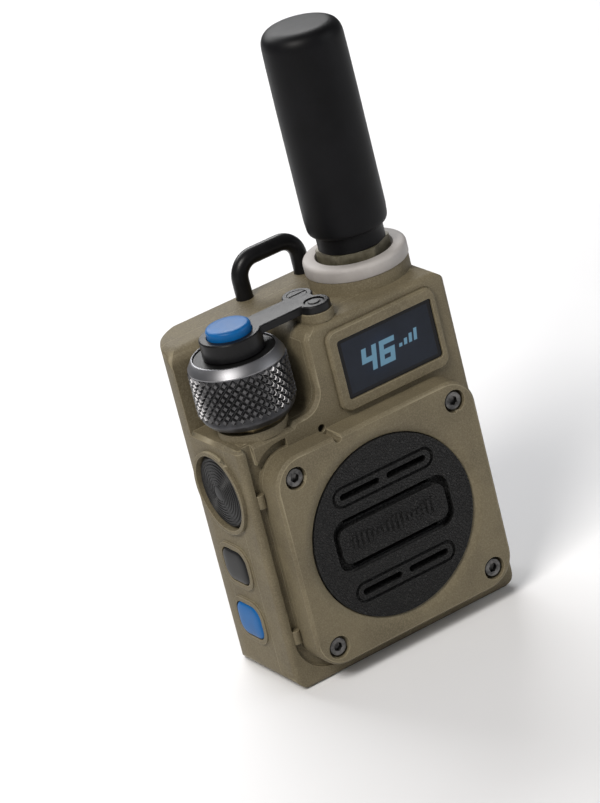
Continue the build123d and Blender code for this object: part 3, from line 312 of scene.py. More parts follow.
def leather_black():
    p = Paint("leather_grain_black")
    warp = p.noise(0.9, 2.0, 0.5)
    cell = p.cells(1.9, "SMOOTH_F1", 0.35)
    crease = p.cells(1.9, "DISTANCE_TO_EDGE")
    fine = p.noise(5.0, 3.0, 0.6)
    edge = p.edges(0.25)
    height = crease.over(0.0, 0.22) * 0.8 + fine * 0.35 + warp * 0.25 - cell * 0.2
    # painted shade: the creases between the grain cells are darker
    colour = p.blend(crease.over(0.0, 0.15), (0.004, 0.004, 0.004), (0.011, 0.011, 0.011))
    # painted highlight: the edges of the grille are lightened
    colour = p.blend(edge * 0.6, colour, (0.05, 0.05, 0.05))
    return p.finish(
        Base_Color=colour,
        Roughness=0.36 + fine * 0.16,
        Specular_IOR_Level=0.22,
        Normal=p.bump(height, 1.0, 0.26, p.rounded(0.15)),
    )


def satin_black(name, tint, rough, grain_strength):
    p = Paint(name)
    grain = p.noise(5.0, 3.0, 0.6)
    cloud = p.noise(0.3, 3.0, 0.55)
    edge = p.edges(0.2)
    colour = p.blend(cloud.over(0.3, 0.7), tint, tuple(c * 1.6 for c in tint))
    # painted highlight: patches along the edges are lightened to six times the tint
    colour = p.blend(edge * cloud.over(0.35, 0.6) * 0.6, colour, tuple(c * 6 for c in tint))
    return p.finish(
        Base_Color=colour,
        Roughness=rough + cloud * 0.12,
        Specular_IOR_Level=0.20,
        Normal=p.bump(grain, grain_strength, 0.03, p.rounded(0.15)),
    )


def grey_rubber():
    p = Paint("light_grey_rubber")
    cloud = p.noise(0.25, 4.0, 0.6)
    fine = p.noise(5.0, 3.0, 0.6)
    dust = p.noise(1.3, 5.0, 0.7).over(0.58, 0.75)
    colour = p.blend(cloud.over(0.3, 0.7), (0.37, 0.345, 0.33), (0.42, 0.395, 0.375))
    colour = p.blend(dust * 0.2, colour, (0.22, 0.21, 0.20))
    return p.finish(
        Base_Color=colour,
        Roughness=0.55 + cloud * 0.15,
        Normal=p.bump(fine, 0.3, 0.03, p.rounded(0.15)),
    )


def blue_plastic():
    p = Paint("blue_plastic")
    cloud = p.noise(0.25, 3.0, 0.5)
    grain = p.noise(5.0, 3.0, 0.6)
    edge = p.edges(0.25)
    colour = p.blend(cloud.over(0.3, 0.7), (0.001, 0.088, 0.27), (0.002, 0.108, 0.33))
    # painted highlight: the edges are lightened to a brighter blue
    colour = p.blend(edge * 0.5, colour, (0.01, 0.22, 0.55))
    return p.finish(
        Base_Color=colour,
        Roughness=0.36 + cloud * 0.12,
        Specular_IOR_Level=0.22,
        Normal=p.bump(grain, 0.3, 0.025, p.rounded(0.15)),
    )


antenna_rubber = soft_black_rubber()
leather = leather_black()
satin_paint = satin_black("satin_black_paint", (0.006, 0.006, 0.0065), 0.27, 0.25)
key_plastic = satin_black("smooth_black_plastic", (0.005, 0.005, 0.005), 0.34, 0.15)
seal_rubber = satin_black("seal_rubber", (0.012, 0.012, 0.012), 0.60, 0.4)
ring_rubber = grey_rubber()
blue = blue_plastic()
print("blacks, grey and blue are mixed")

# %% [markdown]
# ## Metals
# The knob is anodised gunmetal. Fingers wear the coat a little off the tips of the knurl,
# which are found by distance from the knob's axis. Its top bevel is painted lighter, found
# by height, and its edges are painted lighter: both are painted highlights. Screws are
# blackened steel with turning marks, which rings round each head's own axis would give;
# fine stretched noise is near enough at this size. Their edges are painted lighter as well,
# a painted highlight mixed with some wear.

# %% Metals
knob_low, knob_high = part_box("volume_knob")
KNOB = Vector(((knob_low[0] + knob_high[0]) / 2, (knob_low[1] + knob_high[1]) / 2, knob_low[2]))
KNOB_R = (knob_high[0] - knob_low[0]) / 2
KNOB_H = knob_high[2] - knob_low[2]


def knob_metal():
    p = Paint("gunmetal_worn_and_highlit")
    x, y, z = p.axes()
    radius = ((x - KNOB.x) ** 2 + (y - KNOB.y) ** 2).root()
    tip = radius.over(KNOB_R - 0.34 * MM, KNOB_R - 0.05 * MM)
    knob_top = KNOB.z + KNOB_H
    # painted highlight: the top bevel above this height is painted lighter
    band = z.over(knob_top - 2.15 * MM, knob_top - 2.05 * MM)
    patch = p.noise(0.35, 4.0, 0.6)
    scratch = p.noise(0.9, 4.0, 0.6, (1.0, 1.0, 9.0))
    edge = p.edges(0.12)
    colour = p.blend(patch.over(0.3, 0.7), (0.045, 0.045, 0.048), (0.075, 0.075, 0.080))
    colour = p.blend(band, colour, (0.20, 0.20, 0.21))
    colour = p.blend(tip * patch * 0.2, colour, (0.30, 0.29, 0.285))
    # painted highlight: the edges are lightened
    colour = p.blend(edge * 0.5, colour, (0.42, 0.41, 0.40))
    return p.finish(
        Base_Color=colour,
        Metallic=0.9,
        Roughness=0.36 + patch * 0.10 - tip * 0.10,
        Normal=p.bump(scratch, 0.12, 0.02),
    )


def metal_worn_and_highlit(name, dark, bright, rough, metallic=1.0):
    p = Paint(name)
    cloud = p.noise(0.6, 4.0, 0.6)
    marks = p.noise(1.2, 5.0, 0.65, (1.0, 1.0, 6.0))
    edge = p.edges(0.12)
    between = tuple((a + b) / 2 for a, b in zip(dark, bright))
    colour = p.blend(cloud.over(0.3, 0.7), dark, between)
    # painted highlight with some wear: the edges are lightened towards the bright colour
    colour = p.blend(edge * 0.7, colour, bright)
    return p.finish(
        Base_Color=colour,
        Metallic=metallic,
        Roughness=rough + cloud * 0.12,
        Normal=p.bump(marks, 0.15, 0.02, p.rounded(0.06)),
    )


gunmetal = knob_metal()
screw_steel = metal_worn_and_highlit("blackened_steel", (0.05, 0.05, 0.05), (0.30, 0.29, 0.28), 0.30)
bare_steel = metal_worn_and_highlit("bare_steel", (0.30, 0.30, 0.30), (0.6, 0.6, 0.6), 0.30)
dull_brass = metal_worn_and_highlit("dull_brass", (0.22, 0.17, 0.09), (0.5, 0.40, 0.22), 0.35)
olive_metal = metal_worn_and_highlit(
    "olive_anodised_metal", (0.075, 0.066, 0.042), (0.22, 0.20, 0.14), 0.40, metallic=0.35
)
copper = metal_worn_and_highlit("copper", (0.45, 0.20, 0.10), (0.75, 0.40, 0.25), 0.35)
print("metals mixed")

# %% [markdown]
# ## Screen
# The window is smoked glass over a small lit panel. Light inks glow through it: a pair of
# plain channel figures and signal bars. They are drawn with masks on the window's own
# place, which keeps them sharp at any size. A figure is up to seven slanted strokes, and
# a faint blue haze lies round them.

# %% The screen's material
window_low, window_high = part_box("display_window")
SCREEN = Vector([(a + b) / 2 for a, b in zip(window_low, window_high)])
STROKES = {4: "bcfg", 6: "acdefg"}
FIGURE_LOW, FIGURE_TALL, PEN = -2.6 * MM, 4.9 * MM, 1.05 * MM
SLANT = 0.16


def stroke_box(x, z, cx, cz, half_w, half_h, soft=0.06 * MM):
    """1 inside a box of the screen, 0 outside."""
    across = 1 - (x - cx).size().over(half_w - soft, half_w + soft)
    upright = 1 - (z - cz).size().over(half_h - soft, half_h + soft)
    return across * upright


def figure(x, z, digit, left, wide):
    """A channel figure made of strokes, each named by its usual letter."""
    mask = None
    low, tall, pen = FIGURE_LOW, FIGURE_TALL, PEN
    mid, half = low + tall / 2, tall / 2
    spots = {
        "a": (left + wide / 2, low + tall - pen / 2, wide / 2, pen / 2),
        "d": (left + wide / 2, low + pen / 2, wide / 2, pen / 2),
        "g": (left + wide / 2, mid, wide / 2, pen / 2),
        "f": (left + pen / 2, mid + half / 2, pen / 2, half / 2),
        "e": (left + pen / 2, mid - half / 2, pen / 2, half / 2),
        "b": (left + wide - pen / 2, mid + half / 2, pen / 2, half / 2),
        "c": (left + wide - pen / 2, mid - half / 2, pen / 2, half / 2),
    }
    for stroke in STROKES[digit]:
        part = stroke_box(x, z, *spots[stroke])
        mask = part if mask is None else mask.math("MAXIMUM", mask, part)
    return mask


def screen_glass():
    p = Paint("lit_screen")
    x, y, z = p.axes()
    across = (x - SCREEN.x) - (z - SCREEN.z) * SLANT
    up = z - SCREEN.z
    ink = figure(across, up, 4, -6.4 * MM, 3.4 * MM)
    ink = ink.math("MAXIMUM", ink, figure(across, up, 6, -2.3 * MM, 3.5 * MM))
    for step in range(4):
        tall = (0.7 + 0.55 * step) * MM
        left = (2.6 + 1.15 * step) * MM
        bar = stroke_box(across, up, left, -0.6 * MM + tall / 2, 0.36 * MM, tall / 2)
        ink = ink.math("MAXIMUM", ink, bar)
    haze = p.noise(0.15, 3.0, 0.5)
    spread = ((across + 2.0 * MM) ** 2 + up ** 2).root()
    glow = 1 - spread.over(0.5 * MM, 5.5 * MM)
    rim_x = (x - SCREEN.x).size().over(9.9 * MM, 10.1 * MM)
    rim_z = (z - SCREEN.z).size().over(5.2 * MM, 5.4 * MM)
    rim = rim_x.math("MAXIMUM", rim_x, rim_z)
    back = p.blend(haze.over(0.3, 0.7), (0.007, 0.010, 0.017), (0.010, 0.014, 0.024))
    back = p.blend(rim, back, (0.003, 0.003, 0.004))
    lit = p.blend(glow, (0.0, 0.0, 0.0), (0.004, 0.022, 0.060))
    return p.finish(
        Base_Color=p.blend(ink, back, (0.08, 0.16, 0.22)),
        Emission_Color=p.blend(ink, lit, (0.16, 0.34, 0.50)),
        Emission_Strength=0.24,
        Roughness=0.16 + haze * 0.06,
        Normal=p.bump(haze, 0.05, 0.05),
        Specular_IOR_Level=0.15,
        Coat_Weight=0.12,
        Coat_Roughness=0.05,
    )


lit_screen = screen_glass()
print("screen is", round((window_high[0] - window_low[0]) / MM, 1), "mm wide")

# %% [markdown]
# ## Inside pieces
# The boards, battery and speaker never show while the case is shut, but a part library
# keeps them, so each still gets a finish of its own with a little variation in it.

# %% Finishes for the inside
def inner_finish(name, first, second, rough, per_mm=0.5, metallic=0.0):
    p = Paint(name)
    cloud = p.noise(per_mm, 4.0, 0.6)
    fine = p.noise(per_mm * 8, 2.0, 0.5)
    return p.finish(
        Base_Color=p.blend(cloud.over(0.3, 0.7), first, second),
        Metallic=metallic,
        Roughness=rough + cloud * 0.1,
        Normal=p.bump(fine, 0.25, 0.04),
    )


board_green = inner_finish("solder_mask", (0.004, 0.05, 0.02), (0.01, 0.10, 0.04), 0.35)
shield_tin = inner_finish("tinned_steel", (0.35, 0.35, 0.34), (0.5, 0.5, 0.48), 0.3, 0.4, 1.0)
paper = inner_finish("pressed_paper", (0.02, 0.02, 0.02), (0.05, 0.045, 0.04), 0.8)
magnet = inner_finish("plated_magnet", (0.18, 0.18, 0.18), (0.28, 0.28, 0.28), 0.4, 0.3, 1.0)
wrap = inner_finish("battery_wrap", (0.02, 0.08, 0.22), (0.03, 0.11, 0.28), 0.35)
moulded = inner_finish("switch_plastic", (0.012, 0.012, 0.012), (0.03, 0.03, 0.03), 0.5)
panel = inner_finish("display_panel", (0.010, 0.012, 0.02), (0.016, 0.02, 0.03), 0.2)
NODE_FINISH = {
    "antenna_connector": dull_brass, "antenna_element": copper, "battery": wrap,
    "battery_plug": moulded, "display_module": panel, "encoder_body": shield_tin,
    "encoder_nut": dull_brass, "encoder_shaft": bare_steel, "main_board": board_green,
    "mic_seal": seal_rubber, "microphone": shield_tin, "radio_module": shield_tin,
    "rear_gasket": seal_rubber, "rf_shield": shield_tin, "side_board": board_green,
    "side_switches": moulded, "sim_socket": shield_tin, "speaker_basket": shield_tin,
    "speaker_cone": paper, "speaker_gasket": seal_rubber, "speaker_magnet": magnet,
    "top_switch": moulded, "usb_flap_pin": bare_steel, "usb_socket": shield_tin,
    "window_seal": seal_rubber,
}


def paint_node(name, finish):
    mesh = frame["nodes"][name].data
    mesh.materials.clear()
    mesh.materials.append(finish)


for node_name, finish in NODE_FINISH.items():
    paint_node(node_name, finish)
print("painted", len(NODE_FINISH), "inside pieces")

# %% [markdown]
# ## Moulded pieces from the CAD
# The case and its covers have the right shape already, but a CAD mesh is loose triangles.
# A merged copy keeps that shape and gets soft shading on its curves. A Weighted Normal
# modifier lets the broad faces keep their own direction, so they stay flat to the eye, and
# the material's Bevel node rounds the edges as a mould does. The copy replaces the node.

# %% Merged copies of CAD pieces
BODY_OF = {n: b for b, names in record["behaviour"]["bodies"].items() for n in names}
WELD = 0.002 * MM
FLAT = math.radians(0.5)


def settle(obj, node, finish):
    """Paints a piece, puts it on the node's body and lets it stand for the node."""
    obj.data.materials.clear()
    obj.data.materials.append(finish)
    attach(obj, BODY_OF[node])
    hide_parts(node)
    return obj


def shade_soft(mesh, angle=35):
    """Soft shading, except across edges that turn by more than the angle."""
    mesh.polygons.foreach_set("use_smooth", [True] * len(mesh.polygons))
    mesh.set_sharp_from_angle(angle=math.radians(angle))


def new_piece(name, bm, smooth_angle=35):
    """A finished mesh at the origin, shaded soft except at sharp edges."""
    bmesh.ops.recalc_face_normals(bm, faces=bm.faces)
    mesh = bpy.data.meshes.new(name)
    bm.to_mesh(mesh)
    bm.free()
    shade_soft(mesh, smooth_angle)
    obj = bpy.data.objects.new(name, mesh)
    bpy.context.collection.objects.link(obj)
    return obj


def keep_result(obj):
    """Turns what the object's modifiers made into its plain mesh."""
    bpy.context.view_layer.update()
    seen = obj.evaluated_get(bpy.context.evaluated_depsgraph_get())
    mesh = bpy.data.meshes.new_from_object(seen)
    obj.modifiers.clear()
    obj.data = mesh
    return obj


def merged(node):
    """A bmesh of the CAD node with its loose triangles joined."""
    bm = bmesh.new()
    bm.from_mesh(frame["nodes"][node].data)
    bmesh.ops.remove_doubles(bm, verts=bm.verts, dist=WELD)
    return bm


def moulded_copy(node, finish):
    bm = merged(node)
    bmesh.ops.dissolve_limit(
        bm, angle_limit=FLAT, verts=bm.verts, edges=bm.edges, use_dissolve_boundaries=False
    )
    piece = new_piece(node + "_piece", bm)
    even = piece.modifiers.new("even_shading", "WEIGHTED_NORMAL")
    even.mode = "FACE_AREA_WITH_ANGLE"
    even.weight = 50
    even.keep_sharp = True
    return settle(keep_result(piece), node, finish)


case_pieces = {
    "front_shell": olive, "mid_frame": olive, "rear_cover": olive, "speaker_cover": olive,
    "display_bezel": olive, "bridge_pad": olive, "usb_flap": olive, "antenna_nut": olive_metal,
    "groove_pegs": olive, "button_bridge": satin_paint, "knob_insert": key_plastic,
}
for node_name, finish in case_pieces.items():
    piece = moulded_copy(node_name, finish)
    print(node_name, len(piece.data.polygons), "faces")

# %% [markdown]
# ## Turned pieces
# The antenna, its rubber ring, the blue button and the ribbed talk button are round, so
# each is a section spun about an axis. A Screw modifier could spin them, but its poles
# would need merging. One helper turns a list of (radius, height) pairs into a closed skin
# instead, with a single point where the section meets the axis.

# %% The lathe
def lathe(name, section, centre, along="Z", steps=96):
    """A closed skin turned about centre. Section pairs are (radius, distance along) in metres."""
    bm = bmesh.new()
    rings = []
    for radius, rise in section:
        if radius < 1e-7:
            rings.append([bm.verts.new(spun(0, 0, rise, centre, along))])
        else:
            rings.append([
                bm.verts.new(spun(radius, 2 * math.pi * k / steps, rise, centre, along))
                for k in range(steps)
            ])
    pairs = list(zip(rings, rings[1:]))
    if len(rings[0]) > 1 and len(rings[-1]) > 1:
        pairs.append((rings[-1], rings[0]))
    for first, second in pairs:
        for k in range(steps):
            n = (k + 1) % steps
            near, far = len(first), len(second)
            corners = [first[k % near], first[n % near], second[n % far], second[k % far]]
            face = list(dict.fromkeys(corners))
            if len(face) > 2:
                bm.faces.new(face)
    return new_piece(name, bm)


def spun(radius, angle, rise, centre, along):
    """A point at this radius and angle about the axis, and this far along it."""
    c, s = radius * math.cos(angle), radius * math.sin(angle)
    offset = {"Z": (c, s, rise), "Y": (c, rise, s), "X": (rise, c, s)}[along]
    return Vector(centre) + Vector(offset)


def curve_corner(start, corner, end, count=6):
    """Points of a smooth bend from start to end that leans towards corner."""
    out = []
    for k in range(count + 1):
        t = k / count
        a = (1 - t) ** 2
        b = 2 * t * (1 - t)
        out.append(tuple(a * p + b * q + t * t * r for p, q, r in zip(start, corner, end)))
    return out


def centre_of(node):
    """The middle of a CAD node's box."""
    low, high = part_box(node)
    return Vector([(a + b) / 2 for a, b in zip(low, high)])


print("antenna stands at", [round(c / MM, 1) for c in centre_of("antenna_cover")], "mm")

# %% Antenna cover, its ring and the skins of the two bosses
def antenna_cover():
    low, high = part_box("antenna_cover")
    radius = (high[0] - low[0]) / 2
    mid = centre_of("antenna_cover")
    base, tip = low[2], high[2]
    neck, neck_top = 6.6 * MM, base + 3.4 * MM
    section = [(0, base), (neck - 0.2 * MM, base), (neck, base + 0.2 * MM)]
    section += [(neck, neck_top - 0.3 * MM), (neck + 0.1 * MM, neck_top - 0.05 * MM)]
    section += curve_corner(
        (neck + 0.35 * MM, neck_top), (radius - 0.15 * MM, neck_top),
        (radius - 0.12 * MM, neck_top + 1.5 * MM),
    )
    section += [(radius, neck_top + 3.0 * MM), (radius, tip - 16 * MM), (radius - 0.05 * MM, tip - 7 * MM)]
    section += curve_corner(
        (radius - 0.12 * MM, tip - 3.4 * MM), (radius - 0.25 * MM, tip - 0.25 * MM),
        (radius - 3.2 * MM, tip - 0.15 * MM), 10,
    )
    section += [(radius - 5.0 * MM, tip - 0.03 * MM), (0, tip)]
    return lathe("antenna_cover_piece", section, (mid.x, mid.y, 0), steps=128)


settle(antenna_cover(), "antenna_cover", antenna_rubber)


def rubber_ring():
    low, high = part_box("antenna_ring")
    radius, mid = (high[0] - low[0]) / 2, centre_of("antenna_ring")
    hole, base, top = 7.6 * MM, low[2], high[2]
    section = [(hole, base), (radius - 0.1 * MM, base), (radius, base + 0.15 * MM)]
    section += [(radius, top - 0.9 * MM)]
    section += curve_corner(
        (radius, top - 0.8 * MM), (radius - 0.05 * MM, top - 0.1 * MM), (radius - 0.75 * MM, top), 5
    )
    section += [(radius - 1.2 * MM, top), (hole + 0.35 * MM, top)]
    section += [(hole + 0.1 * MM, top - 0.1 * MM), (hole, top - 0.35 * MM)]
    return lathe("antenna_ring_piece", section, (mid.x, mid.y, 0), steps=128)


SKIN_PROUD = 0.03 * MM
ANTENNA_BOSS_R, ANTENNA_BOSS_TALL = 10.0 * MM, 4.8 * MM
KNOB_BOSS_R = 6.8 * MM


def round_skin(name, radius, low, high, axis_node):
    """A thin turned skin that shades the side of a round boss on the case evenly."""
    mid = centre_of(axis_node)
    r = radius + SKIN_PROUD
    section = [(0, low), (r, low), (r, high - 0.22 * MM), (r - 0.06 * MM, high - 0.06 * MM)]
    section += [(r - 0.2 * MM, high), (0, high)]
    skin = lathe(name, section, (mid.x, mid.y, 0), steps=128)
    skin.data.materials.append(olive)
    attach(skin, BODY_OF["mid_frame"])


ring_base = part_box("antenna_ring")[0][2]
round_skin(
    "antenna_boss_skin", ANTENNA_BOSS_R,
    ring_base - ANTENNA_BOSS_TALL, ring_base - 0.01 * MM, "antenna_ring",
)
round_skin(
    "knob_boss_skin", KNOB_BOSS_R, KNOB.z - 3.2 * MM, KNOB.z - 1.41 * MM, "encoder_shaft"
)
settle(rubber_ring(), "antenna_ring", ring_rubber)
print("antenna and ring turned")

# %% Blue top button
def top_button():
    low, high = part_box("top_button")
    mid = centre_of("top_button")
    radius, flange, base, top = 4.36 * MM, 4.95 * MM, low[2], high[2]
    shoulder = base + 1.05 * MM
    section = [(0, base), (flange, base), (flange, shoulder), (radius, shoulder)]
    section += [(radius, top - 0.9 * MM)]
    section += curve_corner(
        (radius, top - 0.8 * MM), (radius, top - 0.12 * MM), (radius - 0.8 * MM, top - 0.06 * MM)
    )
    section += [(radius - 1.2 * MM, top - 0.02 * MM), (radius - 2.0 * MM, top), (0, top)]
    return lathe("top_button_piece", section, (mid.x, mid.y, 0))


button = settle(top_button(), "top_button", blue)
print("top button has", len(button.data.polygons), "faces")

# %% Push-to-talk button
def talk_button():
    low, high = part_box("ptt_button")
    mid = centre_of("ptt_button")
    rim, flange, plunger = 7.5 * MM, 8.0 * MM, 1.15 * MM
    face, back = low[0], high[0]
    flange_back, flange_front = back - 0.6 * MM, back - 1.4 * MM
    edge_x = face + 1.0 * MM
    section = [(0, back), (plunger, back), (plunger, flange_back), (flange, flange_back)]
    section += [(flange, flange_front), (rim, flange_front)]
    section += [(rim, edge_x + 0.25 * MM), (rim - 0.08 * MM, edge_x + 0.08 * MM), (rim - 0.3 * MM, edge_x)]
    radius = rim - 0.3 * MM
    ribs = 9
    pitch = (radius - 1.6 * MM) / ribs
    for k in range(ribs):
        start = radius - k * pitch
        for part, lift in ((0.0, 0.0), (0.25, 0.0), (0.4, 0.16), (0.75, 0.16), (0.9, 0.0)):
            r = start - part * pitch
            dome = face + 0.18 * MM + (edge_x - face - 0.22 * MM) * (r / rim) ** 2
            section.append((r, dome - lift * MM))
    section += [(1.5 * MM, face + 0.12 * MM), (1.0 * MM, face + 0.05 * MM), (0, face)]
    return lathe("ptt_button_piece", section, (0, mid.y, mid.z), along="X")


button = settle(talk_button(), "ptt_button", key_plastic)
print("talk button has", len(button.data.polygons), "faces")

# %% [markdown]
# ## Knurled knob
# The knob's grip is a regular field of little diamonds. A bump would leave its outline
# smooth, so the diamonds are real studs, and Geometry Nodes make them. A circle of points
# is stood on a line of rows, every second row is turned by half a tooth, and each point
# gets a four-sided stud. The plain turned body joins the studs at the end.

# %% A helper for node trees that make geometry
class Maker:
    """A Geometry Nodes tree under construction."""

    def __init__(self, name, inputs):
        self.tree = bpy.data.node_groups.new(name, "GeometryNodeTree")
        face = self.tree.interface
        face.new_socket("Geometry", in_out="INPUT", socket_type="NodeSocketGeometry")
        face.new_socket("Geometry", in_out="OUTPUT", socket_type="NodeSocketGeometry")
        self.ids = {}
        for label, kind in inputs.items():
            self.ids[label] = face.new_socket(label, in_out="INPUT", socket_type=kind).identifier
        self.given = self.tree.nodes.new("NodeGroupInput")
        self.result = self.tree.nodes.new("NodeGroupOutput")

    def node(self, kind, settings=None, sockets=None, out=0):
        node = self.tree.nodes.new(kind)
        for key, value in (settings or {}).items():
            setattr(node, key, value)
        for key, value in (sockets or {}).items():
            if isinstance(value, bpy.types.NodeSocket):
                self.tree.links.new(value, node.inputs[key])
            else:
                node.inputs[key].default_value = value
        return node.outputs[out]

    def sum(self, operation, *values):
        return self.node("ShaderNodeMath", {"operation": operation}, dict(enumerate(values)))

    def end(self, geometry):
        real = self.node("GeometryNodeRealizeInstances", {}, {0: geometry})
        finish = self.given.outputs["Material"]
        painted = self.node("GeometryNodeSetMaterial", {}, {0: real, "Material": finish})
        self.tree.links.new(painted, self.result.inputs[0])

    def apply(self, obj, **values):
        """Runs the tree on obj and keeps the plain mesh."""
        step = obj.modifiers.new("maker", "NODES")
        step.node_group = self.tree
        for label, value in values.items():
            step[self.ids[label.replace("_", " ")]] = value
        return keep_result(obj)


print("ready to build node trees")

# %% Joining rings of points, the stud and the knob's turned body
GRIP_DEPTH = 0.62 * MM
STUD_TIP = 0.46


def join_rings(bm, rings):
    """A band of four-sided faces between each ring of points and the next."""
    for first, second in zip(rings, rings[1:]):
        for k in range(len(first)):
            n = (k + 1) % len(first)
            bm.faces.new((first[k], first[n], second[n], second[k]))


def stud(half_wide, half_tall, depth):
    """A four-sided stud that points along +X, with a small worn flat on its tip."""
    bm = bmesh.new()
    rings = []
    for out, share in ((-0.2 * depth, 1.0), (depth, STUD_TIP)):
        wide, tall = half_wide * share, half_tall * share
        corners = ((wide, 0), (0, tall), (-wide, 0), (0, -tall))
        rings.append([bm.verts.new((out, a, b)) for a, b in corners])
    low, high = rings
    join_rings(bm, rings)
    bm.faces.new(high)
    bm.faces.new(low[::-1])
    return new_piece("stud", bm, 10)


def knob_body():
    base, top = KNOB.z, KNOB.z + KNOB_H
    grip, bore, hollow = KNOB_R - GRIP_DEPTH, 3.0 * MM, 7.4 * MM
    section = [(bore, base + 3.5 * MM), (hollow, base + 3.5 * MM), (hollow, base + 0.1 * MM)]
    section += [(7.5 * MM, base), (8.0 * MM, base), (8.15 * MM, base + 0.12 * MM)]
    section += [(8.95 * MM, base + 1.15 * MM), (9.05 * MM, base + 1.35 * MM), (9.05 * MM, base + 1.75 * MM)]
    section += [(grip, base + 1.95 * MM), (grip, top - 2.1 * MM)]
    section += [(9.38 * MM, top - 2.0 * MM), (9.42 * MM, top - 1.75 * MM)]
    section += [(8.42 * MM, top - 0.1 * MM), (8.25 * MM, top), (8.1 * MM, top), (8.0 * MM, top - 0.1 * MM)]
    section += [(8.0 * MM, top - 2.0 * MM), (bore, top - 2.0 * MM)]
    return lathe("volume_knob_piece", section, (KNOB.x, KNOB.y, 0), steps=160)


print("knob is", round(2 * KNOB_R / MM, 1), "mm wide and", round(KNOB_H / MM, 1), "mm tall")

# %% The knurling tree
def knurl_tree():
    m = Maker("knurl", {
        "Tooth": "NodeSocketObject", "Teeth": "NodeSocketInt", "Rows": "NodeSocketInt",
        "Radius": "NodeSocketFloat", "Row height": "NodeSocketFloat",
        "Centre": "NodeSocketVector", "Material": "NodeSocketMaterial",
    })
    g = m.given.outputs
    copy_to_points = "GeometryNodeInstanceOnPoints"
    circle = m.node("GeometryNodeMeshCircle", {}, {"Vertices": g["Teeth"], "Radius": g["Radius"]})
    index = m.node("GeometryNodeInputIndex")
    step = m.sum("DIVIDE", 2 * math.pi, g["Teeth"])
    facing = m.node("ShaderNodeCombineXYZ", {}, {2: m.sum("MULTIPLY", index, step)})
    tooth = m.node("GeometryNodeObjectInfo", {}, {"Object": g["Tooth"]}, "Geometry")
    ring = m.node(copy_to_points, {}, {"Points": circle, "Instance": tooth, "Rotation": facing})
    rise = m.node("ShaderNodeCombineXYZ", {}, {2: g["Row height"]})
    rows = m.node(
        "GeometryNodeMeshLine", {}, {"Count": g["Rows"], "Start Location": g["Centre"], "Offset": rise}
    )
    odd = m.sum("MODULO", index, 2.0)
    turn = m.node("ShaderNodeCombineXYZ", {}, {2: m.sum("MULTIPLY", m.sum("MULTIPLY", odd, step), 0.5)})
    field = m.node(copy_to_points, {}, {"Points": rows, "Instance": ring, "Rotation": turn})
    both = m.node("GeometryNodeJoinGeometry")
    m.tree.links.new(g["Geometry"], both.node.inputs[0])
    m.tree.links.new(field, both.node.inputs[0])
    m.end(both)
    return m


TEETH, ROWS = 34, 9
grip_r = KNOB_R - GRIP_DEPTH
half_wide = math.pi * grip_r / TEETH
row_height = (KNOB_H - 4.1 * MM - 2 * half_wide) / (ROWS - 1)
tooth = stud(half_wide * 1.02, row_height * 1.04, 0.60 * MM)
knob = knob_body()
knurl_tree().apply(
    knob, Tooth=tooth, Teeth=TEETH, Rows=ROWS, Radius=grip_r, Row_height=row_height,
    Centre=(KNOB.x, KNOB.y, KNOB.z + 2.0 * MM + half_wide), Material=gunmetal,
)
bpy.data.objects.remove(tooth)
settle(knob, "volume_knob", gunmetal)
print("knob has", TEETH * ROWS, "studs and", len(knob.data.polygons), "faces")

# %% [markdown]
# ## Screws
# The cover and the rear are held by socket-head screws. Each could be cut with a Boolean,
# but a head is rings of points, so its hexagonal socket and knurled rim are drawn ring by
# ring. Geometry Nodes copy that one head to each screw's place, turned a little
# differently each time, as hand-driven screws are.

# %% One socket head, pointing along +Z
def socket_head(name, radius, height, socket_r, sink, steps=48):
    bm = bmesh.new()

    def ring(r, z, flute=0.0):
        return [
            bm.verts.new((
                (r - flute * (k % 2)) * math.cos(2 * math.pi * k / steps),
                (r - flute * (k % 2)) * math.sin(2 * math.pi * k / steps), z,
            ))
            for k in range(steps)
        ]

    def hexagon(r, z):
        points = []
        for k in range(steps):
            turn = 2 * math.pi * k / steps
            local = (turn + math.pi / 6) % (math.pi / 3) - math.pi / 6
            reach = r * math.cos(math.pi / 6) / math.cos(local)
            points.append(bm.verts.new((reach * math.cos(turn), reach * math.sin(turn), z)))
        return points

    flute = 0.035 * radius
    rings = [
        ring(radius, -height, flute), ring(radius, -0.32 * MM, flute), ring(radius * 0.96, -0.12 * MM),
        ring(radius * 0.88, 0.0), ring(socket_r * 1.18, 0.0), hexagon(socket_r * 1.04, -0.05 * MM),
        hexagon(socket_r, -0.12 * MM), hexagon(socket_r, -sink),
    ]
    join_rings(bm, rings)
    deep = bm.verts.new((0, 0, -sink - 0.25 * MM))
    for k in range(steps):
        bm.faces.new((rings[-1][k], rings[-1][(k + 1) % steps], deep))
    bm.faces.new(rings[0][::-1])
    return new_piece(name, bm, 30)


print("ready to make socket heads")

# %% The tree that copies a head to its places
def scatter_tree():
    m = Maker("copies", {
        "Shape": "NodeSocketObject", "Tilt": "NodeSocketVector", "Twist": "NodeSocketFloat",
        "Material": "NodeSocketMaterial",
    })
    g = m.given.outputs
    shape = m.node("GeometryNodeObjectInfo", {}, {"Object": g["Shape"]}, "Geometry")
    index = m.node("GeometryNodeInputIndex")
    spin = m.node("ShaderNodeCombineXYZ", {}, {2: m.sum("MULTIPLY", index, g["Twist"])})
    placed = m.node(
        "GeometryNodeInstanceOnPoints", {},
        {"Points": g["Geometry"], "Instance": shape, "Rotation": g["Tilt"]},
    )
    turned = m.node("GeometryNodeRotateInstances", {}, {0: placed, "Rotation": spin})
    m.end(turned)
    return m


copies = scatter_tree()
print("copying tree has", len(copies.tree.nodes), "nodes")

# %% Where the screws are, and the screws
def points_piece(name, points):
    """An object of bare points, for a tree to copy a shape to."""
    mesh = bpy.data.meshes.new(name)
    mesh.from_pydata([tuple(p) for p in points], [], [])
    obj = bpy.data.objects.new(name, mesh)
    bpy.context.collection.objects.link(obj)
    return obj


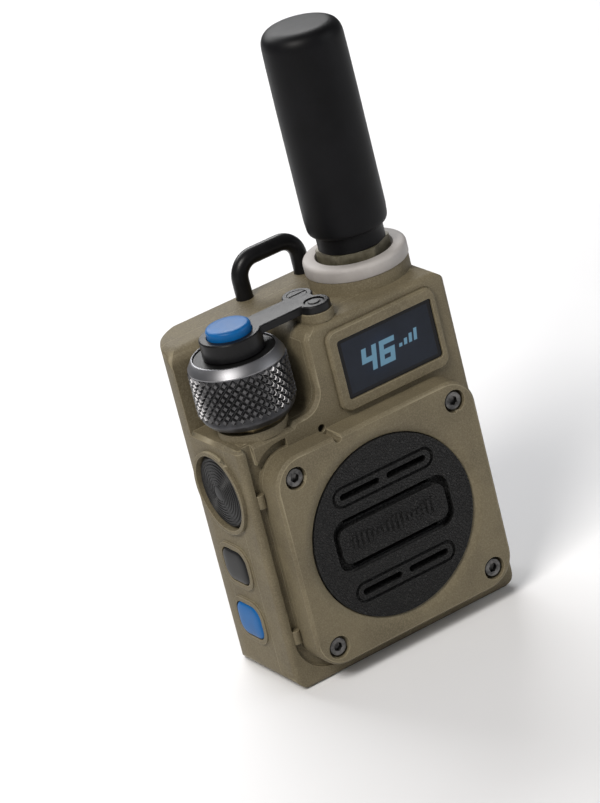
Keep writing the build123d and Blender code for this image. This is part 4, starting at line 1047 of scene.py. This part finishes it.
def node_parts(node):
    """The low and high corners of each separate solid in a CAD node."""
    bm = merged(node)
    left, boxes = set(bm.verts), []
    while left:
        heap, group = [left.pop()], []
        while heap:
            v = heap.pop()
            group.append(v.co.copy())
            for e in v.link_edges:
                o = e.other_vert(v)
                if o in left:
                    left.remove(o)
                    heap.append(o)
        low, high = ([side(c[i] for c in group) for i in range(3)] for side in (min, max))
        boxes.append((Vector(low), Vector(high)))
    bm.free()
    return sorted(boxes, key=lambda b: tuple(round(c, 5) for c in b[0]))


SHANK_R, SHANK_SIDES = 0.97 * MM, 20


def screws(node, head_r, height, socket_r, sink, face):
    """Heads copied to a screw node's places, with plain shanks behind them."""
    head = socket_head(node + "_head", head_r, height, socket_r, sink)
    front = face == "front"
    inward = 1 if front else -1
    boxes, spots = node_parts(node), []
    for low, high in boxes:
        mid = (low + high) / 2
        spots.append((mid.x, low.y if front else high.y, mid.z))
    piece = points_piece(node + "_piece", spots)
    tilt = (inward * math.pi / 2, 0, 0)
    copies.apply(piece, Shape=head, Tilt=tilt, Twist=0.7, Material=screw_steel)
    bpy.data.objects.remove(head)
    bm = bmesh.new()
    bm.from_mesh(piece.data)
    for (low, high), spot in zip(boxes, spots):
        near, far = spot[1] + inward * height, high.y if front else low.y
        rim = [[], []]
        for k in range(SHANK_SIDES):
            turn = 2 * math.pi * k / SHANK_SIDES
            c, s = SHANK_R * math.cos(turn), SHANK_R * math.sin(turn)
            for ring, y in zip(rim, (near, far)):
                ring.append(bm.verts.new((spot[0] + c, y, spot[2] + s)))
        join_rings(bm, rim)
        bm.faces.new(rim[0])
        bm.faces.new(rim[1])
    bmesh.ops.recalc_face_normals(bm, faces=bm.faces)
    bm.to_mesh(piece.data)
    bm.free()
    shade_soft(piece.data)
    settle(piece, node, screw_steel)
    print(node, len(spots), "screws placed")


screws("cover_screws", 1.9 * MM, 1.9 * MM, 0.95 * MM, 1.1 * MM, "front")
screws("case_screws", 1.7 * MM, 1.6 * MM, 0.9 * MM, 1.0 * MM, "rear")

# %% [markdown]
# ## Bridge screws
# The head of the button bridge shows one slotted screw and one plain cap, painted like the
# bridge. Both fill a round recess. A Boolean could cut the slot, but a gap between two
# half-moon pads on a disc needs none. The cap is two smaller discs on the first.

# %% The slotted screw and the cap
PAD_TALL = 0.45 * MM
SLOT_HALF = 0.24 * MM


def bridge_caps():
    bm = bmesh.new()
    for number, (low, high) in enumerate(node_parts("bridge_screws")):
        mid = (low + high) / 2
        radius, top = (high.x - low.x) / 2, high.z
        seat = top - PAD_TALL
        add_disc(bm, mid, radius, seat, low.z)
        if number == 1:
            for side in (1, -1):
                add_half_moon(bm, mid, radius, top, seat, SLOT_HALF, side)
        else:
            add_disc(bm, mid, radius, top - 0.2 * MM, seat)
            add_disc(bm, mid, radius * 0.62, top, seat)
    return new_piece("bridge_screws_piece", bm, 30)


def add_disc(bm, mid, radius, top, low, steps=40):
    """A disc with a softened upper edge."""
    soft = min(0.12 * MM, radius * 0.1)
    rings = [[], [], []]
    for k in range(steps):
        c, s = math.cos(2 * math.pi * k / steps), math.sin(2 * math.pi * k / steps)
        for ring, r, z in zip(rings, (radius, radius, radius - soft), (low, top - soft, top)):
            ring.append(bm.verts.new((mid.x + r * c, mid.y + r * s, z)))
    join_rings(bm, rings)
    bm.faces.new(rings[-1])
    bm.faces.new(rings[0][::-1])


def add_half_moon(bm, mid, radius, top, low, gap, side, steps=24):
    """Half a disc that stops short of the middle by the gap."""
    start = math.asin(gap / radius)
    edge = []
    for k in range(steps + 1):
        turn = start + (math.pi - 2 * start) * k / steps
        edge.append((mid.x + radius * math.cos(turn), mid.y + side * radius * math.sin(turn)))
    rings = [[bm.verts.new((x, y, z)) for x, y in edge] for z in (low, top)]
    join_rings(bm, rings)
    bm.faces.new(rings[1])
    bm.faces.new(rings[0][::-1])


settle(bridge_caps(), "bridge_screws", satin_paint)
print("bridge screw and cap made")

# %% [markdown]
# ## Side keys and window
# Each key is a soft-cornered block with a crowned face. Subdividing a cube would round its
# corners too much, so a rounded-rectangle outline is repeated at several depths, each a
# little smaller, until the last ones rise in a shallow dome. The screen window is the
# same kind of form, a plate with a raised middle.

# %% Keys
def rounded_outline(wide, tall, radius, steps=8):
    """Points round a rectangle with rounded corners."""
    points = []
    for quarter, (sx, sz) in enumerate(((1, 1), (-1, 1), (-1, -1), (1, -1))):
        cx, cz = sx * (wide / 2 - radius), sz * (tall / 2 - radius)
        for k in range(steps + 1):
            turn = math.pi / 2 * (quarter + k / steps)
            points.append((cx + radius * math.cos(turn), cz + radius * math.sin(turn)))
    return points


def stacked(name, layers, mid, along, smooth_angle=40):
    """A closed form from outlines of (wide, tall, radius, depth); along is the depth axis."""
    bm = bmesh.new()
    rings = []
    for wide, tall, radius, depth in layers:
        ring = []
        for a, b in rounded_outline(wide, tall, radius):
            across = (depth, mid[1] + a) if along == "X" else (mid[0] + a, depth)
            ring.append(bm.verts.new((*across, mid[2] + b)))
        rings.append(ring)
    join_rings(bm, rings)
    bm.faces.new(rings[0])
    bm.faces.new(rings[-1])
    return new_piece(name, bm, smooth_angle)


KEY_WIDE, KEY_TALL = 8.6 * MM, 7.0 * MM
# how much smaller, with what corner, and how far behind the face, in mm
CROWN = [
    (0.0, 2.4, 0.75), (0.12, 2.35, 0.50), (0.5, 2.2, 0.27),
    (1.2, 1.9, 0.14), (2.6, 1.3, 0.05), (4.6, 0.8, 0.0),
]


def side_key(node, finish):
    low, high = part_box(node)
    mid, face = centre_of(node), low[0]
    flange_back = high[0] - 0.8 * MM
    flange_front = flange_back - 0.7 * MM
    wide, tall = KEY_WIDE + 1.4 * MM, KEY_TALL + 1.4 * MM
    layers = [(wide, tall, 3.1 * MM, flange_back), (wide, tall, 3.1 * MM, flange_front)]
    layers += [(KEY_WIDE, KEY_TALL, 2.4 * MM, flange_front)]
    for less, corner, behind in CROWN:
        layers.append((KEY_WIDE - less * MM, KEY_TALL - less * MM, corner * MM, face + behind * MM))
    settle(stacked(node + "_piece", layers, (0, mid.y, mid.z), "X"), node, finish)
    print(node, "has", len(layers), "outlines")


side_key("side_key_upper", key_plastic)
side_key("side_key_lower", blue)

# %% Screen window, whose raised middle fills the bezel's opening
def window_piece():
    low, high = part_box("display_window")
    wide, tall = high[0] - low[0], high[2] - low[2]
    step = high[1] - 0.9 * MM
    inner_w, inner_t = wide - 1.3 * MM, tall - 1.3 * MM
    layers = [
        (wide, tall, 1.1 * MM, high[1]), (wide, tall, 1.1 * MM, step),
        (inner_w, inner_t, 0.65 * MM, step), (inner_w, inner_t, 0.65 * MM, low[1] + 0.12 * MM),
        (inner_w - 0.24 * MM, inner_t - 0.24 * MM, 0.55 * MM, low[1]),
    ]
    piece = stacked("display_window_piece", layers, (SCREEN.x, 0, SCREEN.z), "Y")
    settle(piece, "display_window", lit_screen)


window_piece()
print("window is", round((window_high[2] - window_low[2]) / MM, 1), "mm tall")

# %% [markdown]
# ## Carry loop
# The loop is a bent steel rod. A curve with a round bevel would do, but here a ring of
# points is carried along a path of two legs and two quarter bends, which closes its ends
# flat. Each foot goes down through a hole in the top of the case.

# %% Loop
LOOP_BEND = 3.8 * MM
ROD_SIDES = 24


def carry_loop():
    low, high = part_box("lanyard_loop")
    rod = (high[1] - low[1]) / 2
    y, top = (low[1] + high[1]) / 2, high[2] - rod
    left, right, bend = low[0] + rod, high[0] - rod, LOOP_BEND
    turns = [math.pi / 2 * k / 10 for k in range(11)]
    path = [(left, low[2])]
    path += [(left + bend * (1 - math.cos(t)), top - bend * (1 - math.sin(t))) for t in turns]
    path += [(right - bend * (1 - math.sin(t)), top - bend * (1 - math.cos(t))) for t in turns]
    path += [(right, low[2])]
    path = [Vector((x, y, z)) for x, z in path]
    side = Vector((0, 1, 0))
    bm = bmesh.new()
    rings = []
    for k, point in enumerate(path):
        ahead = path[min(k + 1, len(path) - 1)] - path[max(k - 1, 0)]
        other = ahead.normalized().cross(side)
        ring = []
        for j in range(ROD_SIDES):
            turn = 2 * math.pi * j / ROD_SIDES
            ring.append(bm.verts.new(point + rod * (math.cos(turn) * side + math.sin(turn) * other)))
        rings.append(ring)
    join_rings(bm, rings)
    bm.faces.new(rings[0][::-1])
    bm.faces.new(rings[-1])
    return new_piece("lanyard_loop_piece", bm, 50)


loop = settle(carry_loop(), "lanyard_loop", satin_paint)
print("loop has", len(loop.data.polygons), "faces")

# %% [markdown]
# ## Grille
# The grille is a pressed disc with a leather grain. A merged copy of the CAD disc keeps
# its moat, ovals and sound slots. A row of small raised bars, like a level meter, stands
# on the middle bar in place of any name. Their heights follow a wave, so Geometry Nodes
# space and stretch them.

# %% Grille disc and its meter relief
moulded_copy("speaker_grille", leather)


def meter_tree():
    m = Maker("meter_relief", {
        "Bar": "NodeSocketObject", "Count": "NodeSocketInt", "Start": "NodeSocketVector",
        "Pitch": "NodeSocketFloat", "Swing": "NodeSocketFloat", "Material": "NodeSocketMaterial",
    })
    g = m.given.outputs
    index = m.node("GeometryNodeInputIndex")
    step = m.node("ShaderNodeCombineXYZ", {}, {0: g["Pitch"]})
    line = m.node(
        "GeometryNodeMeshLine", {}, {"Count": g["Count"], "Start Location": g["Start"], "Offset": step}
    )
    wave = m.sum("SINE", m.sum("MULTIPLY", index, 0.9))
    tall = m.sum("ADD", 0.62, m.sum("MULTIPLY", wave, g["Swing"]))
    size = m.node("ShaderNodeCombineXYZ", {}, {0: 1.0, 1: 1.0, 2: tall})
    bar = m.node("GeometryNodeObjectInfo", {}, {"Object": g["Bar"]}, "Geometry")
    row = m.node(
        "GeometryNodeInstanceOnPoints", {}, {"Points": line, "Instance": bar, "Scale": size}
    )
    m.end(row)
    return m


def meter_relief():
    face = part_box("speaker_grille")[0][1]
    bar = stacked("meter_bar", [
        (0.62 * MM, 3.6 * MM, 0.3 * MM, 0.30 * MM), (0.62 * MM, 3.6 * MM, 0.3 * MM, 0.06 * MM),
        (0.46 * MM, 3.4 * MM, 0.22 * MM, 0.0),
    ], (0, 0, 0), "Y")
    row = points_piece("grille_meter_relief", [])
    count, pitch = 17, 1.15 * MM
    mid = centre_of("speaker_grille")
    start = (mid.x - pitch * (count - 1) / 2, face - 0.20 * MM, mid.z + 0.3 * MM)
    meter_tree().apply(
        row, Bar=bar, Count=count, Start=start, Pitch=pitch, Swing=0.30, Material=leather
    )
    bpy.data.objects.remove(bar)
    shade_soft(row.data)
    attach(row, BODY_OF["speaker_grille"])
    print("grille relief has", count, "bars")


meter_relief()

# %% [markdown]
# ## Floor
# The floor is a large pale sheet. It isn't part of the radio, so it goes on the stage.

# %% Floor
def pale_floor():
    p = Paint("pale_floor")
    cloud = p.noise(0.01, 3.0, 0.5)
    finish = p.finish(
        Base_Color=p.blend(cloud.over(0.3, 0.7), (0.80, 0.80, 0.81), (0.84, 0.84, 0.85)),
        Roughness=0.6 + cloud * 0.1,
    )
    mesh = bpy.data.meshes.new("floor")
    mesh.from_pydata([(-6, -3, 0), (6, -3, 0), (6, 9, 0), (-6, 9, 0)], [], [(0, 1, 2, 3)])
    mesh.materials.append(finish)
    floor = bpy.data.objects.new("floor", mesh)
    bpy.context.collection.objects.link(floor)
    return floor


pale_floor()
print("floor laid")
